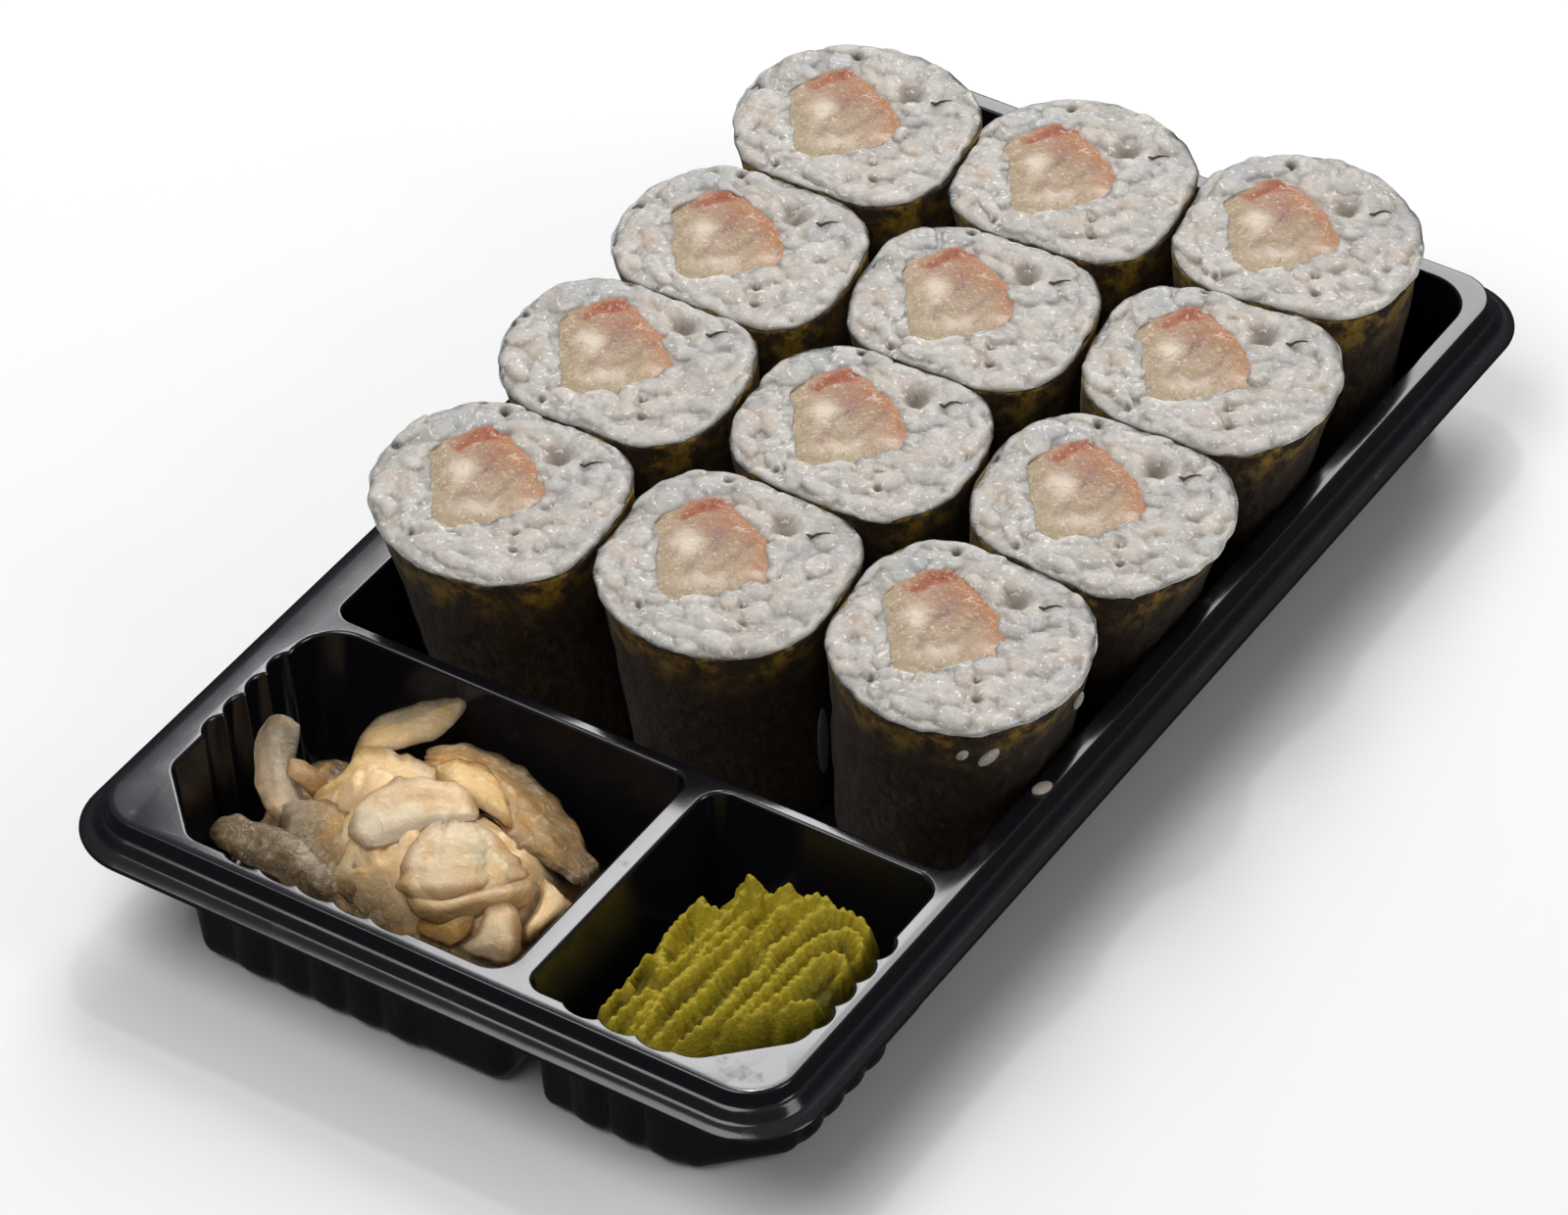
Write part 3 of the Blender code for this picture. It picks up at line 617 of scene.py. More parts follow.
class Roll:
    """One roll's outline by height, and its filling's outline, as the frame gives them."""

    def __init__(self, name, number):
        self.name = name
        self.number = number
        bands = ((0.0, 3.0), (TRAY_HEIGHT - 1, TRAY_HEIGHT + 1), (ROLL_TOP - 2, ROLL_TOP))
        self.levels = [wrap_outline(node_points("seaweed_" + name, low, high)) for low, high in bands]
        self.middle = self.levels[-1].centre
        self.fish_foot = node_points("fish_" + name, 0.0, 3.0)[:, :2].mean(axis=0)

    def place(self, turn, height, inset=0.0):
        """Points at these directions and heights, moved inwards by inset."""
        height = np.broadcast_to(np.asarray(height, float), np.shape(turn))
        radii = np.stack([level.radius(turn) for level in self.levels])
        x = np.stack([np.full(np.shape(turn), level.centre[0]) for level in self.levels])
        y = np.stack([np.full(np.shape(turn), level.centre[1]) for level in self.levels])
        share = np.clip(np.stack([
            (TRAY_HEIGHT - height) / (TRAY_HEIGHT - FOOT_HEIGHT),
            np.zeros_like(height),
            (height - TRAY_HEIGHT) / (ROLL_TOP - TRAY_HEIGHT)]), 0.0, 1.0)
        share[1] = 1.0 - share[0] - share[2]
        radius = (radii * share).sum(axis=0) - inset
        return np.stack([(x * share).sum(axis=0) + radius * np.cos(turn),
                         (y * share).sum(axis=0) + radius * np.sin(turn), height], axis=1)

    def wrap_edge(self, turns):
        """The height of the wrap's uneven upper edge."""
        circle = around(turns)
        level = ROLL_TOP - WRAP_DROP + 0.35 * waves(circle, 7.0, self.number)
        return level + 0.2 * waves(circle, 2.0, self.number)


def around(turns):
    """Places on a circle of a roll's size, for noise that closes on itself."""
    radius = 20.0
    return np.stack([np.cos(turns) * radius, np.sin(turns) * radius, np.zeros(len(turns))], axis=1)


def level_with(points):
    """Flat places with a third coordinate of 0, for noise."""
    return np.hstack([points, np.zeros((len(points), 1))])


def make_wrap(roll, look):
    """The seaweed: a thin wrinkled sheet with an uneven upper edge."""
    turns = directions(WRAP_AROUND)
    circle = around(turns)
    edge = roll.wrap_edge(turns)
    surface = Surface()
    rows = []
    shares = np.concatenate([np.linspace(0.0, 0.86, 24), np.linspace(0.88, 1.0, 8)])
    for share in shares:
        heights = FOOT_HEIGHT + (edge - FOOT_HEIGHT) * share
        place = circle.copy()
        place[:, 2] = heights * WRINKLE_STRETCH
        lumps = waves(place, 5.0, roll.number + 3) + 0.5 * waves(place, 2.0, roll.number + 5)
        wrinkles = (WRINKLE_DEPTH * lumps - WRINKLE_INSET) * (1.0 - 0.7 * share ** 12)
        rows.append(roll.place(turns, heights, -wrinkles))
    inner = [row.copy() for row in rows[::-1]]
    for row in inner:
        centre = row.mean(axis=0)
        inwards = (row - centre) * (1.0, 1.0, 0.0)
        row -= inwards / np.linalg.norm(inwards, axis=1)[:, None] * WRAP_THICKNESS
    surface.loft(rows + inner, closed_rows=True, closed_loft=True)
    verts = surface.all_verts()
    piece = add_piece("wrap_" + roll.name, verts, surface.faces, look, ["seaweed_" + roll.name],
                      origin=(*roll.middle, 0.0))
    below = np.tile(edge, 2 * len(shares)) - verts[:, 2]
    add_attribute(piece, "edge", np.clip(1.0 - below / GOLDEN_REACH, 0.0, 1.0))


# Grains that show on every cut face, noted from the photograph: place from the roll's middle, length,
# width and direction in degrees, all in the cut face's own directions
GRAINS = (
    (-9.1, 17.5, 7.2, 4.8, 29), (-10.6, 14.5, 6.5, 4.6, 36), (-13.9, 15.7, 7.7, 2.5, 61),
    (-2.7, 18.4, 5.1, 4.1, 0), (-1.1, 21.2, 7.2, 2.7, -8), (2.8, 19.6, 4.7, 3.5, -29),
    (3.1, 16.6, 5.3, 3.7, -42), (6, 17.5, 5.3, 3.3, -42), (7.8, 14.3, 5.7, 3.3, -42),
    (5.7, 10.4, 6.5, 3.7, -57), (9.9, 15.7, 5, 2.9, -42), (12, 13.4, 5.7, 3.7, -42),
    (12.3, 9.7, 6.8, 3.9, 83), (15, 10.6, 6.9, 2.9, -61), (15.6, 4.4, 3.3, 3.7, 0),
    (11.7, 4.7, 7.2, 3.3, -83), (8.7, 4.2, 4.9, 2.7, -69), (9, 0.8, 3.6, 2.8, 0), (18.5, -2.2, 8.2, 3, 69),
    (18.8, 1.5, 6.1, 2.3, -69), (14.7, -1.3, 5.5, 4.1, 57), (11.4, -3.1, 7, 4.3, 69),
    (9.9, -6.8, 4.7, 4.3, 29), (12.9, -7.7, 5.7, 3.8, 52), (15.9, -5.9, 5.7, 3.3, 69),
    (20, -7.7, 6.7, 2.5, 80), (16.2, -10.5, 5.7, 3.4, 52), (18.5, -12.8, 5.9, 3, 57),
    (14.7, -13.7, 4.7, 3.5, -29), (11.4, -11.8, 4.2, 4.1, 15), (8.4, -10.9, 3.9, 5, 0),
    (4.6, -7.2, 6, 4.1, -15), (0.4, -8.9, 6.3, 3, 83), (4.9, -12.3, 5.5, 4.9, 22),
    (-4.4, -10.2, 5.4, 2.7, -8), (-9.7, -12.8, 7.2, 5, -15), (-3.2, -13.7, 8.5, 4.8, -29),
    (-7.1, -16.9, 7.1, 3, -36), (-1.4, -19.2, 6.1, 4, -22), (8.1, -16.4, 5.5, 4, 22),
    (4.6, -19.6, 7.1, 4.6, 0), (12.3, -18.3, 7.2, 4.5, 15), (8.1, -21.7, 7.8, 2.3, 8),
    (15.6, -15.5, 4.4, 3, 29), (-16.6, 6.1, 7, 4.3, 69), (-14.8, 7.4, 5, 3.6, -61),
    (-18.7, 1, 7.4, 4.3, 69), (-15.1, 2.4, 6.5, 4.1, -77), (-13.3, -0.4, 5.3, 3.3, -69),
    (-18.1, -3.6, 5.7, 2.9, -61), (-14.8, -5, 5.3, 3, -69), (-12.1, -5.9, 4.1, 2.7, 69),
    (-14.5, -8.6, 5, 2.1, -61), (-10.9, -9.5, 3.6, 2.3, -15), (-20.1, -1.3, 4.1, 2, -69),
    (2.8, 12.5, 4.6, 2.5, -61), (7.5, -3.1, 3.3, 2.2, 57))
FACE_HALF_WIDTH = 21.5
FACE_HALF_LENGTH = 22.8
FILLER_GRAINS = 130
FILLER_LIFT = -0.3
BED_LEVEL = -0.75
GRAIN_POWER = 2.3
GRAIN_MERGE = 0.1
OUTSIDE_GRAIN = -9.0
DEEPEST_HOLLOW = -3.6
FACE_ROWS = 34
FACE_LIFT = 0.3
RIM_RADIUS = 1.2
RICE_INSET = 1.1
FILLING_OVERLAP = 2.0
UNDER_WRAP_EDGE = ((0.1, 0.8), (2.0, 1.2), (5.0, 1.2))

# Hollows between grains: place, radius, depth and how much near-black brown is painted into them as shade
HOLLOWS = ((8.9, 8.0, 1.6, 2.6, 0.0), (0.0, 19.3, 0.6, 1.8, 0.9), (2.2, -14.8, 0.5, 1.4, 0.8),
           (2.5, -10.6, 0.5, 1.4, 0.8), (-13.6, -10.4, 0.5, 1.2, 0.6), (-16.9, 11.2, 0.8, 1.5, 0.2))

# The filling's outline on the cut face, from the roll's middle
FILLING = ((-13.0, 11.5), (-9.6, 13.4), (-6.2, 15.4), (-4.0, 16.4), (-0.3, 16.1), (1.5, 13.8), (3.6, 9.6),
           (6.0, 6.0), (7.4, 1.4), (7.7, -2.75), (6.6, -5.5), (3.0, -8.0), (-1.2, -9.7), (-4.8, -10.4),
           (-8.0, -11.2), (-11.3, -10.0), (-11.9, -3.2), (-12.2, 5.0))
FILLING_MIDDLE = (-3.0, 3.0)


def cut_face(points, middle):
    """Places from a middle, in the cut face's own directions."""
    x, y = points[:, 0] - middle[0], points[:, 1] - middle[1]
    cos, sin = math.cos(CUT_DIRECTION), math.sin(CUT_DIRECTION)
    return np.stack([x * cos + y * sin, y * cos - x * sin], axis=1)


def turned(point):
    """From the cut face's own directions to the part's."""
    cos, sin = math.cos(CUT_DIRECTION), math.sin(CUT_DIRECTION)
    return np.array([point[0] * cos - point[1] * sin, point[0] * sin + point[1] * cos])


def filling_radius(turns):
    """The filling's outline by direction in the cut face, from its own middle."""
    corners = np.array(FILLING) - FILLING_MIDDLE
    angles = np.arctan2(corners[:, 1], corners[:, 0])
    order = np.argsort(angles)
    fine = directions(360) - np.pi
    radii = np.interp(fine, angles[order], np.hypot(corners[:, 0], corners[:, 1])[order], period=2.0 * np.pi)
    radii = sum(np.roll(radii, shift) for shift in range(-9, 10)) / 19.0
    return np.interp(turns, fine, radii, period=2.0 * np.pi)


def face_grains(random):
    """The grains noted from the photograph, then small ones that fill in between them."""
    grains = [(*grain, 0.0) for grain in GRAINS]
    for _ in range(FILLER_GRAINS):
        x, y = random.uniform(-FACE_HALF_LENGTH, FACE_HALF_LENGTH, 2)
        length, width = random.uniform(3.5, 6.0), random.uniform(2.2, 3.0)
        grains.append((x, y, length, width, random.uniform(0, 180), FILLER_LIFT))
    return grains


def grain_dome(random, roll, local, x, y, length, width, angle, lift):
    """One grain's height over the cut face's places, a little off its noted place, size and turn."""
    distance = np.hypot(x, y)
    usual = np.hypot(x / distance * FACE_HALF_WIDTH, y / distance * FACE_HALF_LENGTH)
    edge = roll.levels[-1].radius(math.atan2(y, x) + CUT_DIRECTION)
    reach = min(np.hypot(x / FACE_HALF_WIDTH, y / FACE_HALF_LENGTH), 1.0)
    place = np.array((x, y)) * (1.0 + (edge / usual - 1.0) * reach) + random.normal(0.0, 0.25, 2)
    turn = math.radians(angle + random.normal(0.0, 6.0))
    half = np.array((length, width)) / 2.0 * random.uniform(0.96, 1.12, 2)
    bend = random.normal(0.0, 0.05)
    offset = local - place
    along = offset[:, 0] * math.cos(turn) + offset[:, 1] * math.sin(turn)
    across = offset[:, 1] * math.cos(turn) - offset[:, 0] * math.sin(turn) + bend * along ** 2
    out = np.abs(along / half[0]) ** GRAIN_POWER + np.abs(across / half[1]) ** GRAIN_POWER
    dome = np.sqrt(np.clip(1.0 - out, 0.0, 1.0))
    rise = min(0.6, 0.30 * half[1])
    tilt = random.normal(0.0, 0.05) * along
    top = random.normal(-0.1, 0.16) + lift
    return np.where(out < 1.0, top - rise + rise * dome + tilt, OUTSIDE_GRAIN)


def rice_relief(roll, points):
    """Height, tint, painted crease shade and painted hollow shade (brown) of the rice at places on the cut
    face.

    Every grain is a low dome, and neighbouring domes merge where they meet.
    """
    random = np.random.default_rng(100 + roll.number)
    local = cut_face(points, roll.middle)
    flat = level_with(local)
    heights = [BED_LEVEL + 0.15 * waves(flat, 3.0, roll.number)]
    tints = [0.25]
    for grain in face_grains(random):
        heights.append(grain_dome(random, roll, local, *grain))
        tints.append(random.uniform(0.0, 1.0))
    heights = np.array(heights)
    top = heights.max(axis=0)
    weights = np.exp((heights - top) / GRAIN_MERGE)
    relief = top + GRAIN_MERGE * np.log(weights.sum(axis=0))
    tint = (weights * np.array(tints)[:, None]).sum(axis=0) / weights.sum(axis=0)
    # How far a place lies below the grain tops, for the painted shade in the creases
    crease = np.clip((-0.25 - relief) / 0.8, 0.0, 1.0)
    brown = np.zeros(len(local))
    # Each hollow sinks and gets full painted crease shade and its share of painted brown shade
    for x, y, radius, depth, share in HOLLOWS:
        near = np.exp(-((local[:, 0] - x) ** 2 + (local[:, 1] - y) ** 2) / radius ** 2)
        relief -= depth * near
        crease = np.maximum(crease, near)
        brown = np.maximum(brown, share * near)
    relief += 0.05 * waves(flat, 0.9, roll.number) + 0.07 * waves(flat, 2.2, roll.number + 2)
    return np.maximum(relief, DEEPEST_HOLLOW), np.stack([tint, crease, brown])


def rice_face(roll, wrap_edge, inner, outer):
    """Rows of the cut face from inside the filling to the wrap, with their details."""
    rows, details = [], []
    for share in np.linspace(0.0, 1.0, FACE_ROWS) ** 0.92:
        place = inner * (1.0 - share) + outer * share
        height, detail = rice_relief(roll, place)
        to_rim = (1.0 - share) * np.linalg.norm(outer - inner, axis=1)
        inset = np.clip(RIM_RADIUS - to_rim, 0.0, RIM_RADIUS)
        rounding = RIM_RADIUS - np.sqrt(RIM_RADIUS ** 2 - inset ** 2)
        height = ROLL_TOP + FACE_LIFT + height - rounding * 0.6
        height = np.where(inset > 0.4, np.maximum(height, wrap_edge + 0.05), height)
        rows.append(np.hstack([place, height[:, None]]))
        details.append(detail)
    return rows, details


def make_rice(roll, look):
    """The rice: a relief of grains from the filling to the wrap, rounded off at the rim."""
    turns = directions(RICE_AROUND)
    outwards = np.stack([np.cos(turns), np.sin(turns)], axis=1)
    filling = filling_radius(turns - CUT_DIRECTION)[:, None]
    filling_centre = roll.middle + turned(FILLING_MIDDLE)
    inner = filling_centre + outwards * (filling - FILLING_OVERLAP)
    bulge = -0.1 + 0.25 * waves(around(turns), 3.2, roll.number + 4)
    wrap_edge = roll.wrap_edge(turns)
    outer = roll.place(turns, ROLL_TOP, -bulge)[:, :2]
    rows, details = rice_face(roll, wrap_edge, inner, outer)
    for drop, inset in UNDER_WRAP_EDGE:
        rows.append(roll.place(turns, wrap_edge - drop, inset))
    for height in (TRAY_HEIGHT, FOOT_HEIGHT):
        rows.append(roll.place(turns, height, RICE_INSET))
    bore = ((FOOT_HEIGHT, roll.fish_foot, 0.6), (ROLL_TOP - 3.5, filling_centre, 0.9))
    for height, centre, scale in bore:
        rows.append(np.hstack([centre + filling * scale * outwards, np.full((len(turns), 1), height)]))
    details += [details[-1]] * (len(rows) - len(details))
    surface = Surface()
    surface.loft(rows, closed_rows=True, closed_loft=True)
    piece = add_piece("rice_grains_" + roll.name, surface.all_verts(), surface.faces, look,
                      ["rice_" + roll.name], origin=(*roll.middle, 0.0))
    # The grains' own tint, then the painted shade of the creases and of the hollows
    for name, values in zip(("tint", "crease", "brown"), np.concatenate(details, axis=1)):
        add_attribute(piece, name, values)


def bell(x, y, place, width, height):
    """A soft spot: 1 at its place, falling off over its width and height."""
    return np.exp(-((x - place[0]) / width) ** 2 - ((y - place[1]) / height) ** 2)


def near_path(x, y, path, width):
    """1 on a path of straight stretches, falling to 0 about width away."""
    best = np.full(x.shape, np.inf)
    for (ax, ay), (bx, by) in zip(path, path[1:]):
        dx, dy = bx - ax, by - ay
        along = np.clip(((x - ax) * dx + (y - ay) * dy) / (dx ** 2 + dy ** 2), 0, 1)
        best = np.minimum(best, np.hypot(x - ax - along * dx, y - ay - along * dy))
    return np.exp(-(best / width) ** 2)


# The filling's folds and zones of colour, from the roll's middle in the cut face's directions
FOLD = ((-12.7, 9.9), (-10.0, 10.6), (-7.0, 10.2), (-4.7, 12.0), (-1.4, 13.0), (0.1, 14.8))
EDGE_BAND = ((0.1, 15.2), (2.2, 10.5), (4.9, 6.1), (6.6, 2.4), (7.0, -1.3), (6.0, -4.0))
STREAKS = (((-7.0, -3.6), (-1.7, 4.2)), ((-3.2, -4.4), (3.6, 3.3)), ((-2.6, 2.6), (-1.4, 6.4)))
# Where the cut face shines: raised as a dome there, and given a painted highlight
SHINE = (-6.2, 3.0)
FISH_ROWS = 39
FISH_FOOT_SHARE = 0.58


def fish_height(x, y, share, flat, number):
    """The filling's domed, creased cut face; share runs from 0 at its middle to 1 at its edge."""
    height = ROLL_TOP + 0.25 - 1.9 * share ** 7 + 0.75 * bell(x, y, SHINE, 3.6, 4.0)
    height += 0.5 * bell(x, y, (-2.0, 15.0), 4.0, 2.2) + 0.35 * bell(x, y, (2.5, 7.5), 3.0, 4.0)
    height -= 0.9 * bell(x, y, (-9.0, -9.0), 5.0, 4.0) + 0.5 * bell(x, y, (-12.0, 3.0), 1.8, 6.0)
    height -= 0.55 * near_path(x, y, FOLD, 0.9)
    for path in STREAKS:
        height -= 0.16 * near_path(x, y, path, 0.6)
    return height + (0.12 * waves(flat, 1.6, number) + 0.16 * np.abs(waves(flat, 1.1, number + 6)))


def fish_zones(x, y):
    """How much of each colour the cut face has at its places."""
    return {
        "mauve": 0.9 * bell(x, y, (-0.6, 8.4), 6.2, 4.4) + 0.5 * bell(x, y, (-1.7, 5.0), 1.4, 2.4),
        "peach": near_path(x, y, EDGE_BAND, 3.4) + 0.7 * bell(x, y, (-6.5, 13.4), 4.0, 2.0),
        "rust": 1.1 * near_path(x, y, FOLD[2:], 1.1) + 0.9 * bell(x, y, (-1.8, 13.8), 3.4, 1.6),
        # Painted highlight: a bright spot at the shine and two pale patches where wrinkles shine
        "pale": 1.2 * bell(x, y, SHINE, 2.0, 2.6) + 0.75 * bell(x, y, (-3.4, -5.0), 4.0, 1.6)
        + 0.6 * bell(x, y, (4.6, -3.6), 2.4, 1.4),
        "clear": 0.8 * bell(x, y, (-7.4, -8.6), 5.0, 2.6) + 0.7 * bell(x, y, (-11.6, 3.0), 1.7, 6.0),
        "streak": 0.7 * sum(near_path(x, y, path, 0.7) for path in STREAKS),
    }


def make_fish(roll, look):
    """The filling: a soft block with a domed, creased cut face."""
    count = FISH_AROUND
    turns = directions(count)
    outwards = np.stack([np.cos(turns), np.sin(turns)], axis=1)
    centre = roll.middle + turned(FILLING_MIDDLE)
    radius = (filling_radius(turns - CUT_DIRECTION) + 0.5)[:, None]
    shares = np.linspace(0.0, 1.0, FISH_ROWS + 1)[1:]
    face = np.concatenate([[centre]] + [centre + radius * share * outwards for share in shares])
    share = np.concatenate([[0.0], np.repeat(shares, count)])
    local = cut_face(face, roll.middle)
    flat = level_with(local)
    x = local[:, 0] + 0.5 * waves(flat, 4.0, roll.number)
    y = local[:, 1] + 0.5 * waves(flat, 4.0, roll.number + 9)
    face = np.hstack([face, fish_height(x, y, share, flat, roll.number)[:, None]])
    foot_radius = radius * FISH_FOOT_SHARE
    foot = np.hstack([roll.fish_foot + foot_radius * outwards, np.full((count, 1), FOOT_HEIGHT)])
    surface = Surface()
    rows = [face[1 + count * i:1 + count * (i + 1)] for i in range(FISH_ROWS)]
    starts = surface.loft(rows + [foot], closed_rows=True)
    surface.fan(starts[0], count, face[0])
    surface.fan(starts[-1], count, (*roll.fish_foot, FOOT_HEIGHT))
    piece = add_piece("fish_block_" + roll.name, surface.all_verts(), surface.faces, look,
                      ["fish_" + roll.name], origin=(*roll.middle, 0.0))
    for zone, values in fish_zones(x, y).items():
        values = np.clip(values, 0.0, 1.0)
        add_attribute(piece, zone, np.concatenate([values[1:], np.zeros(count), values[:1], [0.0]]))


# Ginger

CREAM = (0.9, 0.62, 0.33)
WHITE = (0.92, 0.74, 0.52)
YELLOW = (0.9, 0.59, 0.22)
GOLDEN = (0.78, 0.42, 0.12)
GREY = (0.3, 0.25, 0.17)
OLIVE = (0.18, 0.12, 0.055)

